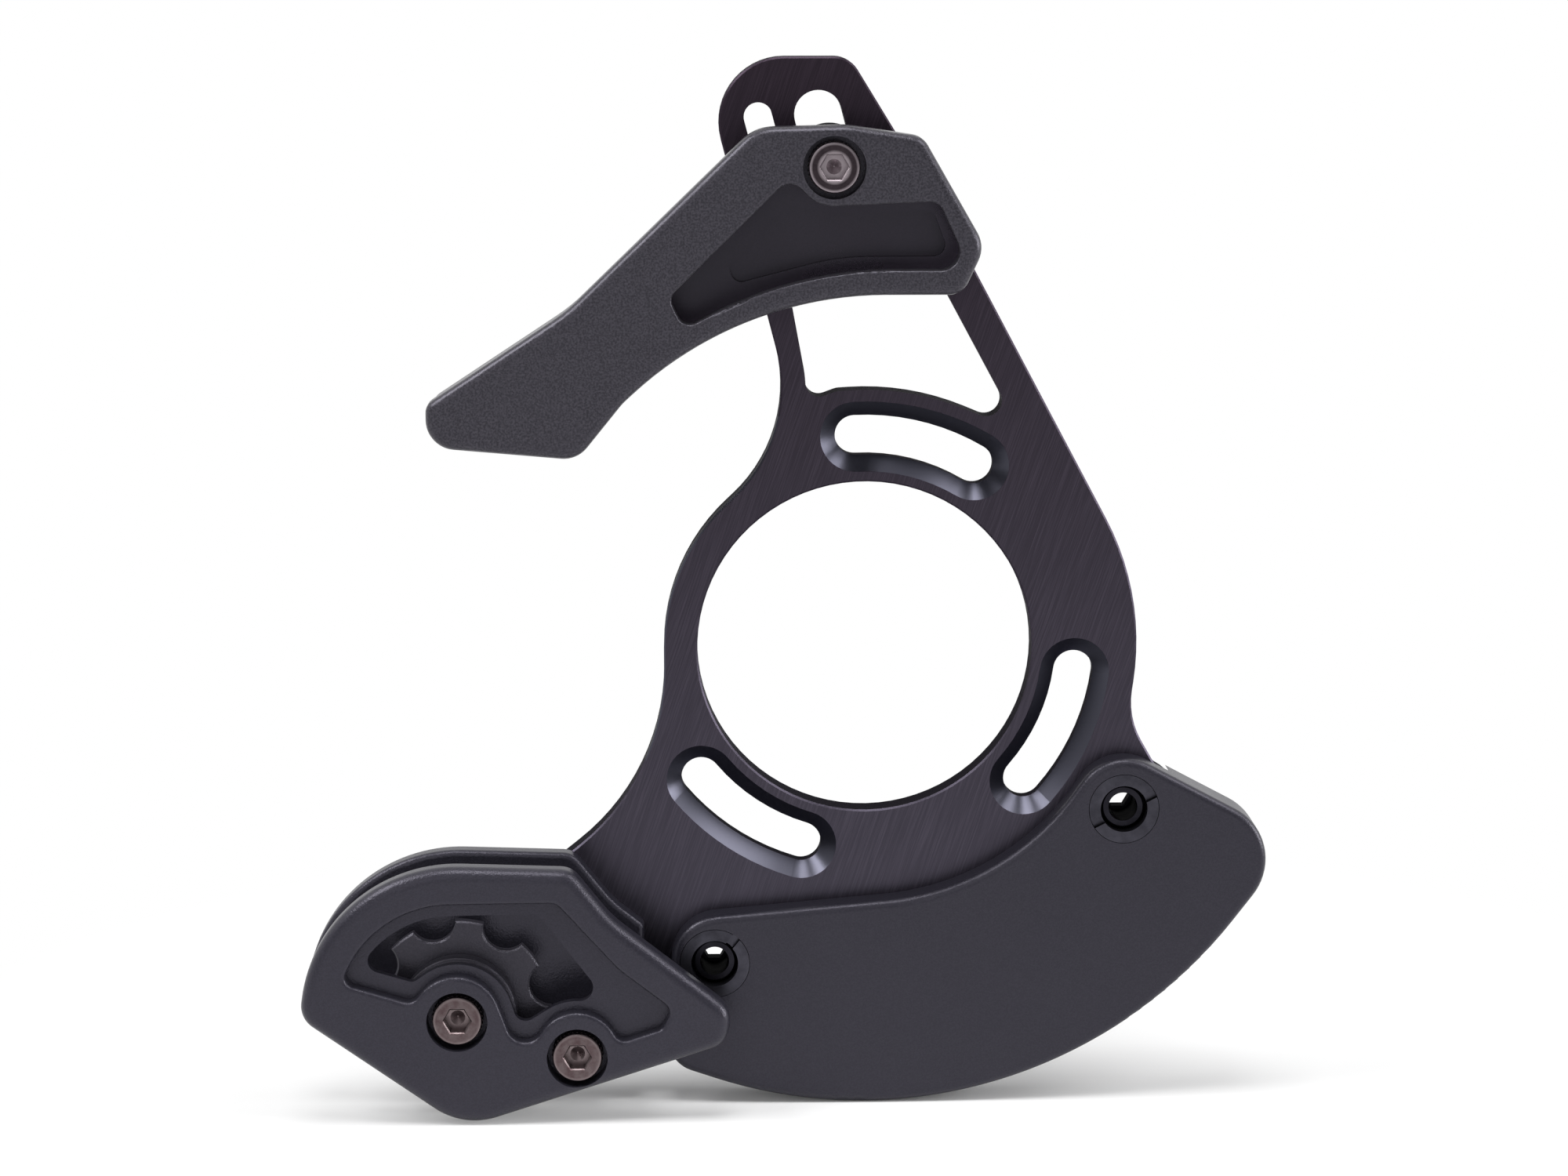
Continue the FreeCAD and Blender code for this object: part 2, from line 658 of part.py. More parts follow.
def cage_inner():
    body = new_body("cage_inner")
    outline = new_sketch(body, "cage_inner_plate", PLATE_FRONT)
    draw(outline, rounded_edges(cage_inner_outline()))
    pad(body, outline, "Sizes.inner_thick")
    dress(body, "Fillet", outer_rim(body), "Sizes.inner_round")
    bolt_holes(body, "cage_inner_holes", GAP_REAR, "Sizes.thread + Sizes.hole_play")
    return body


def rear_boss(body, name, x, z):
    """Boss behind a counterbore, with a narrower tip that meets the spacer or the bearing."""
    tall = f"({GAP_FRONT} - {BEARING_FRONT})"
    boss = new_sketch(body, f"{name}_boss", GAP_FRONT)
    draw_circle(boss, "2 * Sizes.boss_radius", x, z)
    pad(body, boss, f"{tall} - Sizes.boss_step", inboard=True)
    tip = new_sketch(body, f"{name}_tip", GAP_FRONT)
    draw_circle(tip, "2 * Sizes.boss_tip", x, z)
    pad(body, tip, tall, inboard=True)


def cage_outer():
    body = new_body("cage_outer")
    outline = new_sketch(body, "cage_outer_plate", GAP_FRONT)
    draw(outline, rounded_edges(cage_outline()))
    pad(body, outline, "Sizes.outer_thick")
    dress(body, "Fillet", outer_rim(body), "Sizes.cage_round")

    recess = new_sketch(body, "cage_recess", FACE)
    draw(recess, rounded_edges(cage_recess()))
    pocket(body, recess, "Sizes.recess_deep")
    dress(body, "Fillet", holes_rim(body, lambda wire: True), "Sizes.recess_round")

    window = new_sketch(body, "cage_window", FACE)
    draw(window, rounded_edges(cage_window()))
    pocket(body, window)

    rear_boss(body, "pulley", "Sizes.pulley_x", "Sizes.pulley_z")
    rear_boss(body, "cage", CAGE_BOLT_X, CAGE_BOLT_Z)
    bolt_holes(body, "cage_counterbores", FACE, "Sizes.sink_hole", "Sizes.head_sunk + Sizes.head_tall")
    bolt_holes(body, "cage_outer_holes", FACE, "Sizes.thread + Sizes.hole_play")
    return body


def guide_outer():
    body = new_body("upper_guide_outer")
    outline = new_sketch(body, "guide_outer_plate", GAP_FRONT)
    draw(outline, rounded_edges(guide_outline()))
    pad(body, outline, "Sizes.outer_thick")
    dress(body, "Fillet", outer_rim(body), "Sizes.guide_round")

    window = new_sketch(body, "guide_window", FACE)
    draw(window, rounded_edges(guide_window()))
    pocket(body, window)
    dress(body, "Fillet", holes_rim(body, lambda wire: True), "Sizes.window_round")

    rear_boss(body, "guide", "Sizes.guide_x", "Sizes.guide_z")
    rows = (("guide_counterbore", "Sizes.sink_hole", "Sizes.head_sunk + Sizes.head_tall"),
            ("guide_outer_hole", "Sizes.thread + Sizes.hole_play", None))
    for name, diameter, length in rows:
        hole = new_sketch(body, name, FACE)
        draw_circle(hole, diameter, "Sizes.guide_x", "Sizes.guide_z")
        pocket(body, hole, length)
    return body


def guide_inner():
    """Inner half with the lip over the chain; the outer half's boss keys into a notch in the lip."""
    body = new_body("upper_guide_inner")
    rear = f"({PLATE_FRONT} + Sizes.slide_gap)"
    outline = new_sketch(body, "guide_inner_plate", rear)
    draw(outline, rounded_edges(guide_inner_outline()))
    pad(body, outline, f"{GAP_FRONT} - {rear}")

    channel = new_sketch(body, "guide_channel", GAP_FRONT)
    draw(channel, rounded_edges(guide_channel()))
    pocket(body, channel, "Sizes.chain_gap")

    well = new_sketch(body, "guide_pocket", GAP_REAR)
    draw(well, rounded_edges(guide_pocket()))
    pocket(body, well, "Sizes.pocket_deep")

    notch = new_sketch(body, "guide_notch", GAP_FRONT)
    above = (GUIDE[0], GUIDE[1] + SIZE["boss_radius"] + CUT_PAST)
    draw(notch, slot_edges(GUIDE, above, 2 * SIZE["boss_radius"] + SIZE["hole_play"]))
    pocket(body, notch, f"{GAP_FRONT} - {BEARING_FRONT}")

    lug = new_sketch(body, "guide_lug", rear)
    lug_wide = "Sizes.lug_slot - 2 * Sizes.slide_gap"
    draw_circle(lug, lug_wide, "Sizes.guide_x + Sizes.lug_x", "Sizes.guide_z + Sizes.lug_z")
    pad(body, lug, "Sizes.plate_thick - Sizes.slide_gap", inboard=True)

    hole = new_sketch(body, "guide_inner_hole", GAP_REAR)
    draw_circle(hole, "Sizes.thread + Sizes.hole_play", "Sizes.guide_x", "Sizes.guide_z")
    pocket(body, hole)
    return body


def ring(label, outside, inside, length):
    """Plain ring about the Y axis, growing outboard from its own origin."""
    body = new_body(label)
    sketch = new_sketch(body, f"{label}_ring")
    draw_circle(sketch, outside)
    draw_circle(sketch, inside)
    pad(body, sketch, length)
    return body


def hexagon(flats):
    """Corners of a hexagon by its size across flats."""
    return [(*polar((0.0, 0.0), flats / math.sqrt(3), -60.0 * side), 0.0) for side in range(6)]


def cap_bolt(label, length):
    """Socket head bolt; its own origin is the middle of the seat under the head."""
    body = new_body(label)
    head = new_sketch(body, f"{label}_head")
    draw_circle(head, "Sizes.head_wide")
    pad(body, head, "Sizes.head_tall")
    dress(body, "Fillet", outer_rim(body), "Sizes.head_round")
    socket = new_sketch(body, f"{label}_socket", "Sizes.head_tall")
    draw(socket, rounded_edges(hexagon(SIZE["hex_key"])))
    pocket(body, socket, "Sizes.hex_deep")
    dress(body, "Chamfer", holes_rim(body, lambda wire: True), "Sizes.hex_edge")
    tip = new_sketch(body, f"{label}_tip", "Sizes.head_tall - Sizes.hex_deep - Sizes.hex_point")
    draw_circle(tip, "Sizes.hex_tip")
    pocket(body, tip, "Sizes.hex_point", outboard=True, taper=DRILL_SLOPE)
    shank = new_sketch(body, f"{label}_shank")
    draw_circle(shank, "Sizes.thread")
    pad(body, shank, length, inboard=True)
    dress(body, "Chamfer", outer_rim(body, outboard=False), "Sizes.head_round")
    return body


def pulley_wheel():
    """Flat-topped teeth on a hub; its own origin lies on the chain's middle plane."""
    body = new_body("pulley_wheel")
    disc = new_sketch(body, "pulley_disc", "-Sizes.tooth_thick / 2")
    draw_circle(disc, "2 * Sizes.pulley_tip")
    pad(body, disc, "Sizes.tooth_thick")

    hollow = new_sketch(body, "roller_hollow", "Sizes.tooth_thick / 2")
    draw_circle(hollow, "2 * Sizes.roller", "0", "Sizes.pulley_pitch")
    first = pocket(body, hollow)
    hollows = body.newObject("PartDesign::PolarPattern", "roller_hollows")
    hollows.Originals = [first]
    hollows.Axis = (hollow, ["N_Axis"])
    hollows.Angle = 360
    hollows.setExpression("Occurrences", "Sizes.teeth")
    body.Tip = hollows
    doc.recompute()
    rims = outer_rim(body) + outer_rim(body, outboard=False)
    dress(body, "Chamfer", rims, "Sizes.tooth_edge")

    hub_wide = "(Sizes.chain_gap - 2 * Sizes.hub_gap)"
    hub = new_sketch(body, "pulley_hub", f"-{hub_wide} / 2")
    draw_circle(hub, "2 * Sizes.hub_radius")
    pad(body, hub, hub_wide)
    rims = outer_rim(body) + outer_rim(body, outboard=False)
    dress(body, "Fillet", rims, "Sizes.hub_round")
    bore = new_sketch(body, "pulley_bore", f"{hub_wide} / 2")
    draw_circle(bore, "Sizes.bearing_out + Sizes.thread_play")
    pocket(body, bore)
    return body


def bearing_ring(label, back, land):
    """Bearing ring turned from its half section, with the race in its land."""
    body = new_body(label)
    sketch = new_sketch(body, f"{label}_section", plane="XY_Plane")
    half_wide = SIZE["bearing_wide"] / 2
    race = SIZE["ball"] / 2 + SIZE["race_play"]
    middle = ball_circle()
    race_half = math.sqrt(race**2 - (land - middle) ** 2)
    deepest = middle + math.copysign(race, land - middle)
    corners = [
        Vector(land, race_half, 0),
        Vector(land, half_wide, 0),
        Vector(back, half_wide, 0),
        Vector(back, -half_wide, 0),
        Vector(land, -half_wide, 0),
        Vector(land, -race_half, 0),
    ]
    draw(sketch, [Part.LineSegment(a, b) for a, b in zip(corners, corners[1:])])
    draw(sketch, [Part.Arc(corners[-1], Vector(deepest, 0, 0), corners[0])])
    turned = body.newObject("PartDesign::Revolution", f"{label}_turned")
    turned.Profile = sketch
    turned.ReferenceAxis = (sketch, ["V_Axis"])
    turned.Angle = 360
    doc.recompute()
    return body


def bearing_bore():
    return (SIZE["thread"] + SIZE["thread_play"]) / 2


def ball_circle():
    """Radius of the circle that the balls' centres lie on."""
    return (bearing_bore() + SIZE["bearing_out"] / 2) / 2


def bearing_balls():
    spheres = []
    for number in range(SIZE["balls"]):
        sphere = doc.addObject("Part::Sphere", f"ball_{number + 1}")
        sphere.setExpression("Radius", "Sizes.ball / 2")
        x, z = polar((0.0, 0.0), ball_circle(), 360.0 * number / SIZE["balls"])
        sphere.Placement.Base = Vector(x, 0, z)
        spheres.append(sphere)
    balls = doc.addObject("Part::Compound", "bearing_balls")
    balls.Links = spheres
    return balls


def bash_guard():
    body = new_body("bash_guard")
    rear = "(Sizes.plate_thick - Sizes.bash_rear)"
    outline = new_sketch(body, "bash_plate", rear)
    draw(outline, rounded_edges(bash_outline()))
    pad(body, outline, "Sizes.bash_rear + Sizes.bash_front")
    dress(body, "Fillet", outer_rim(body), "Sizes.bash_round")

    seat = new_sketch(body, "bash_seat", rear)
    draw(seat, rounded_edges(offset_outline(plate_outline(), SIZE["bash_gap"])))
    pocket(body, seat, "Sizes.bash_rear", outboard=True)

    rows = (("nut_counterbores", "Sizes.nut_wide + 2 * Sizes.thread_play", "Sizes.nut_tall"),
            ("nut_holes", "Sizes.nut_sleeve + 2 * Sizes.thread_play", None))
    for name, diameter, length in rows:
        sketch = new_sketch(body, name, BASH_FACE)
        draw_circle(sketch, diameter, "Sizes.front_ear_x", "Sizes.front_ear_z")
        draw_circle(sketch, diameter, "Sizes.rear_ear_x", "Sizes.rear_ear_z")
        pocket(body, sketch, length)
    return body


def sleeve_nut(label):
    """Slotted flange nut of the bash guard; its own origin is the middle of its face."""
    body = new_body(label)
    flange = new_sketch(body, f"{label}_flange", "-Sizes.nut_tall")
    draw_circle(flange, "Sizes.nut_wide")
    pad(body, flange, "Sizes.nut_tall")
    sleeve = new_sketch(body, f"{label}_sleeve", "-Sizes.nut_tall")
    draw_circle(sleeve, "Sizes.nut_sleeve")
    pad(body, sleeve, "Sizes.bash_front - Sizes.nut_tall", inboard=True)
    bore = new_sketch(body, f"{label}_bore")
    draw_circle(bore, "Sizes.bash_bolt + Sizes.thread_play")
    pocket(body, bore)
    driver = new_sketch(body, f"{label}_driver")
    half_long = SIZE["nut_wide"]
    half_wide = SIZE["driver_wide"] / 2
    signs = ((-1, 1), (1, 1), (1, -1), (-1, -1))
    draw(driver, rounded_edges([(x * half_long, z * half_wide, 0.0) for x, z in signs]))
    pocket(body, driver, "Sizes.driver_deep")
    return body


def hollow_bolt(label):
    """Bash bolt from the inboard side, open right through; its own origin is under its head."""
    body = new_body(label)
    head = new_sketch(body, f"{label}_head")
    draw_circle(head, "Sizes.bash_head")
    pad(body, head, "Sizes.bash_head_tall", inboard=True)
    dress(body, "Fillet", outer_rim(body, outboard=False), "Sizes.head_round")
    shank = new_sketch(body, f"{label}_shank")
    draw_circle(shank, "Sizes.bash_bolt")
    shank_long = f"({BASH_FACE} - Sizes.bash_sunk)"
    pad(body, shank, shank_long)
    dress(body, "Chamfer", outer_rim(body), "Sizes.bash_point")
    core = new_sketch(body, f"{label}_core", shank_long)
    draw_circle(core, "Sizes.bash_core")
    pocket(body, core, shank_long)
    key = new_sketch(body, f"{label}_key", BASH_FACE)
    draw(key, rounded_edges(hexagon(SIZE["bash_key"])))
    pocket(body, key)
    return body


def tee_nut():
    """Flanged nut behind the tab, its sleeve in the slot; its own origin is on the tab's rear."""
    body = new_body("upper_guide_nut")
    flange = new_sketch(body, "tee_flange", "-Sizes.slide_gap")
    draw_circle(flange, "Sizes.tee_wide")
    pad(body, flange, "Sizes.tee_tall", inboard=True)
    sleeve = new_sketch(body, "tee_sleeve", "-Sizes.slide_gap")
    draw_circle(sleeve, "Sizes.guide_slot - 2 * Sizes.slide_gap")
    pad(body, sleeve, "Sizes.plate_thick")
    bore = new_sketch(body, "tee_bore", "Sizes.plate_thick")
    draw_circle(bore, "Sizes.thread + Sizes.thread_play")
    pocket(body, bore)
    return body


def build():
    """Makes and places every sub-part, and returns them."""
    at_guide = {"x": "Sizes.guide_x", "z": "Sizes.guide_z"}
    at_pulley = {"x": "Sizes.pulley_x", "z": "Sizes.pulley_z"}
    at_cage_bolt = {"x": CAGE_BOLT_X, "z": CAGE_BOLT_Z}
    parts = [backplate(), cage_inner(), cage_outer(), guide_outer(), guide_inner(), bash_guard()]

    bolt_clear = "Sizes.thread + Sizes.hole_play"
    boss_wide = "2 * Sizes.boss_tip"
    long_spacer = f"{BEARING_FRONT} - {GAP_REAR}"
    for label, length, spot in (
        ("pulley_spacer", f"{BEARING_REAR} - {GAP_REAR}", at_pulley),
        ("cage_spacer", long_spacer, at_cage_bolt),
        ("upper_guide_spacer", long_spacer, at_guide),
    ):
        spacer = ring(label, boss_wide, bolt_clear, length)
        place(spacer, depth=GAP_REAR, **spot)
        parts.append(spacer)

    cage_length = f"{SEAT} - Sizes.bolt_end"
    guide_length = f"{SEAT} + Sizes.slide_gap + Sizes.tee_tall - Sizes.bolt_end"
    for label, length, spot in (
        ("pulley_bolt", cage_length, at_pulley),
        ("cage_bolt", cage_length, at_cage_bolt),
        ("upper_guide_bolt", guide_length, at_guide),
    ):
        bolt = cap_bolt(label, length)
        place(bolt, depth=SEAT, **spot)
        parts.append(bolt)

    inner_land = bearing_bore() + SIZE["ring_thick"]
    outer_land = SIZE["bearing_out"] / 2 - SIZE["ring_thick"]
    rolling = [
        bearing_ring("bearing_outer_ring", SIZE["bearing_out"] / 2, outer_land),
        bearing_ring("bearing_inner_ring", bearing_bore(), inner_land),
        bearing_balls(),
    ]
    for item in rolling:
        place(item, depth=CHAIN, **at_pulley)
        parts.append(item)
    shield_out = "Sizes.bearing_out - 2 * Sizes.ring_thick - Sizes.thread_play"
    shield_in = "Sizes.thread + Sizes.thread_play + 2 * Sizes.ring_thick + 2 * Sizes.shield_gap"
    for label, depth in (
        ("bearing_shield_rear", f"{BEARING_REAR} + Sizes.shield_sunk"),
        ("bearing_shield_front", f"{BEARING_FRONT} - Sizes.shield_sunk - Sizes.shield_thick"),
    ):
        shield = ring(label, shield_out, shield_in, "Sizes.shield_thick")
        place(shield, depth=depth, **at_pulley)
        parts.append(shield)
    wheel = pulley_wheel()
    place(wheel, depth=CHAIN, turn=SIZE["pulley_turn"], **at_pulley)
    parts.append(wheel)

    nut = tee_nut()
    place(nut, **at_guide)
    parts.append(nut)
    for end in ("front", "rear"):
        spot = {"x": f"Sizes.{end}_ear_x", "z": f"Sizes.{end}_ear_z"}
        sleeve = sleeve_nut(f"bash_nut_{end}")
        place(sleeve, depth=BASH_FACE, turn=SIZE[f"{end}_driver"], **spot)
        hollow = hollow_bolt(f"bash_bolt_{end}")
        place(hollow, **spot)
        parts += [sleeve, hollow]
    return parts


def check(parts):
    """Stops on a feature that failed or a sub-part that isn't a sound solid."""
    doc.recompute()
    for item in doc.Objects:
        if "Invalid" in item.State or "Error" in item.State:
            raise RuntimeError(f"{item.Label} failed: {item.State}")
    for part in parts:
        if part.Shape.isNull() or not part.Shape.isValid() or part.Shape.Volume <= 0:
            raise RuntimeError(f"{part.Label} has no sound shape")


def export(parts):
    os.makedirs("parts", exist_ok=True)
    for part in parts:
        part.Shape.exportStep(os.path.join("parts", f"{part.Label}.step"))
        print(f"{part.Label}: {part.Shape.Volume:.0f} mm3")


make_sheet()
SUBPARTS = build()
check(SUBPARTS)
export(SUBPARTS)
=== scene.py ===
"""Dresses a bicycle chain guide in its finishes, and sets up the studio and the camera.

Lengths are metres in the part's own frame: X points forward along the bicycle, Z up and Y inboard,
so the outboard side, which carries the bolt heads, looks along -Y. The origin is the centre of the
bottom bracket bore, on the backplate's inboard face.
"""
from __future__ import annotations

import logging
import math
from dataclasses import dataclass, replace
from enum import Enum

import bmesh
import bpy
from mathutils import Matrix, Vector

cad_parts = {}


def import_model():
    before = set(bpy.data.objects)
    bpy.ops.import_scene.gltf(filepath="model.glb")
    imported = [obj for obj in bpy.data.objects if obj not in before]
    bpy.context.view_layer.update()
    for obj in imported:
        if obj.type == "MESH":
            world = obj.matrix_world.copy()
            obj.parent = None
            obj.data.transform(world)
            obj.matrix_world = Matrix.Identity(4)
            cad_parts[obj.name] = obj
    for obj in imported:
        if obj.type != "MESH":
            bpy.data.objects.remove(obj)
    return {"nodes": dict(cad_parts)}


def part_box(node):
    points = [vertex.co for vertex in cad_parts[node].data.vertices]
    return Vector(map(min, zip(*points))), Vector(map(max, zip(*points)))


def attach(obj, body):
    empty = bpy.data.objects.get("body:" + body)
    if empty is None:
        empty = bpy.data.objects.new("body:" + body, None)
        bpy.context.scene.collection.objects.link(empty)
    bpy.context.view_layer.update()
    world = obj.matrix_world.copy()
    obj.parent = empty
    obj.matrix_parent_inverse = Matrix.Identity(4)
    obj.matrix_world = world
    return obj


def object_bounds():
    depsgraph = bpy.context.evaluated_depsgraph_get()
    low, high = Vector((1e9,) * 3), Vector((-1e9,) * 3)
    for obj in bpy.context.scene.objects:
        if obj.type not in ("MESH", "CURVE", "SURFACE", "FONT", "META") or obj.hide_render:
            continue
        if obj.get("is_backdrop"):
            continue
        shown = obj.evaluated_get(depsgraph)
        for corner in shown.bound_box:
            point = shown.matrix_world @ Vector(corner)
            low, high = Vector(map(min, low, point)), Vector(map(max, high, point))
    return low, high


LOG = logging.getLogger("chain_guide")
MM = 0.001
WHITE = "#ffffff"
WHITE_STRENGTH = 1.0
# Most of a noise texture's values lie between these two.
NOISE_LOW = 0.3
NOISE_HIGH = 0.7
# Keeps a point's distances along X and Z, across an axis that runs along Y.
ACROSS_Y = (1.0, 0.0, 1.0)
# Places of a colour Mix node's two colours and of its result, which share their names with other sockets.
COLOUR_A = 6
COLOUR_B = 7
COLOUR_OUT = 2


class Body(Enum):
    """Bodies of the guide that move by themselves."""

    FRAME = "frame"
    PULLEY = "pulley"
    UPPER_GUIDE = "upper_guide"


def linear(hex_code: str) -> tuple[float, float, float, float]:
    """Turns an sRGB colour into a linear one, by the standard sRGB curve.

    Args:
        hex_code: colour as #rrggbb.

    Returns:
        Linear red, green and blue, and an alpha of 1.
    """
    parts = [int(hex_code[i:i + 2], 16) / 255 for i in (1, 3, 5)]
    red, green, blue = (v / 12.92 if v <= 0.04045 else ((v + 0.055) / 1.055) ** 2.4 for v in parts)
    return red, green, blue, 1.0


def feed(tree: bpy.types.NodeTree, node: bpy.types.Node, inputs: dict) -> None:
    """Sets a node's inputs.

    Args:
        tree: tree that holds the node.
        node: the node.
        inputs: socket's name or number, and its value or the output that feeds it.
    """
    for key, value in inputs.items():
        if isinstance(value, bpy.types.NodeSocket):
            tree.links.new(value, node.inputs[key])
        else:
            node.inputs[key].default_value = value


def add_node(
    tree: bpy.types.NodeTree, kind: str, inputs: dict | None = None, **settings: object
) -> bpy.types.Node:
    """Adds a node to a tree.

    Args:
        tree: tree that gets the node.
        kind: Blender's name for the kind of node.
        inputs: socket's name or number, and its value or the output that feeds it.
        settings: the node's own attributes.

    Returns:
        The new node.
    """
    node = tree.nodes.new(kind)
    for name, value in settings.items():
        setattr(node, name, value)
    feed(tree, node, inputs or {})
    return node


def off_axis(
    tree: bpy.types.NodeTree, place: bpy.types.NodeSocket, x: float = 0.0, z: float = 0.0
) -> bpy.types.NodeSocket:
    """Measures how far a point is from an axis that runs along Y.

    Args:
        tree: the material's tree.
        place: object coordinates.
        x: the axis's place along X.
        z: the axis's place along Z.

    Returns:
        Output with the distance.
    """
    moved = add_node(tree, "ShaderNodeVectorMath", {0: place, 1: (x, 0.0, z)}, operation="SUBTRACT")
    flat = add_node(
        tree, "ShaderNodeVectorMath", {0: moved.outputs["Vector"], 1: ACROSS_Y}, operation="MULTIPLY"
    )
    away = add_node(tree, "ShaderNodeVectorMath", {0: flat.outputs["Vector"]}, operation="LENGTH")
    return away.outputs["Value"]


@dataclass(frozen=True)
class Finish:
    """A surface's name, main colour and gloss. Each kind of surface adds its own pattern."""

    name: str
    colour: str
    roughness: float
    metallic: float = 0.0
    ior: float = 1.5
    specular: float = 0.5
    edge: str = WHITE
    spread: float = 0.05

    def material(self) -> bpy.types.Material:
        """Returns this finish's material, made when it is first asked for."""
        found = bpy.data.materials.get(self.name)
        if found is not None:
            return found
        made = bpy.data.materials.new(self.name)
        made.use_nodes = True
        tree = made.node_tree
        tree.nodes.clear()
        shader = add_node(
            tree,
            "ShaderNodeBsdfPrincipled",
            {
                "Base Color": linear(self.colour),
                "Roughness": self.roughness,
                "Metallic": self.metallic,
                "IOR": self.ior,
                "Specular IOR Level": self.specular,
                "Specular Tint": linear(self.edge),
            },
        )
        add_node(tree, "ShaderNodeOutputMaterial", {"Surface": shader.outputs["BSDF"]})
        place = add_node(tree, "ShaderNodeTexCoord").outputs["Object"]
        self.pattern(tree, shader, place)
        return made

    def pattern(
        self, tree: bpy.types.NodeTree, shader: bpy.types.Node, place: bpy.types.NodeSocket
    ) -> None:
        """Adds the surface's pattern.

        Args:
            tree: the material's tree.
            shader: the material's shader.
            place: object coordinates.
        """
        raise NotImplementedError

    def uneven_gloss(self, tree: bpy.types.NodeTree, noise: bpy.types.Node) -> bpy.types.NodeSocket:
        """Lets the roughness follow a noise texture.

        Args:
            tree: the material's tree.
            noise: the noise texture.

        Returns:
            Output with the roughness.
        """
        gloss = add_node(
            tree,
            "ShaderNodeMapRange",
            {
                "Value": noise.outputs["Fac"],
                "From Min": NOISE_LOW,
                "From Max": NOISE_HIGH,
                "To Min": self.roughness - self.spread,
                "To Max": self.roughness + self.spread,
            },
        )
        return gloss.outputs["Result"]


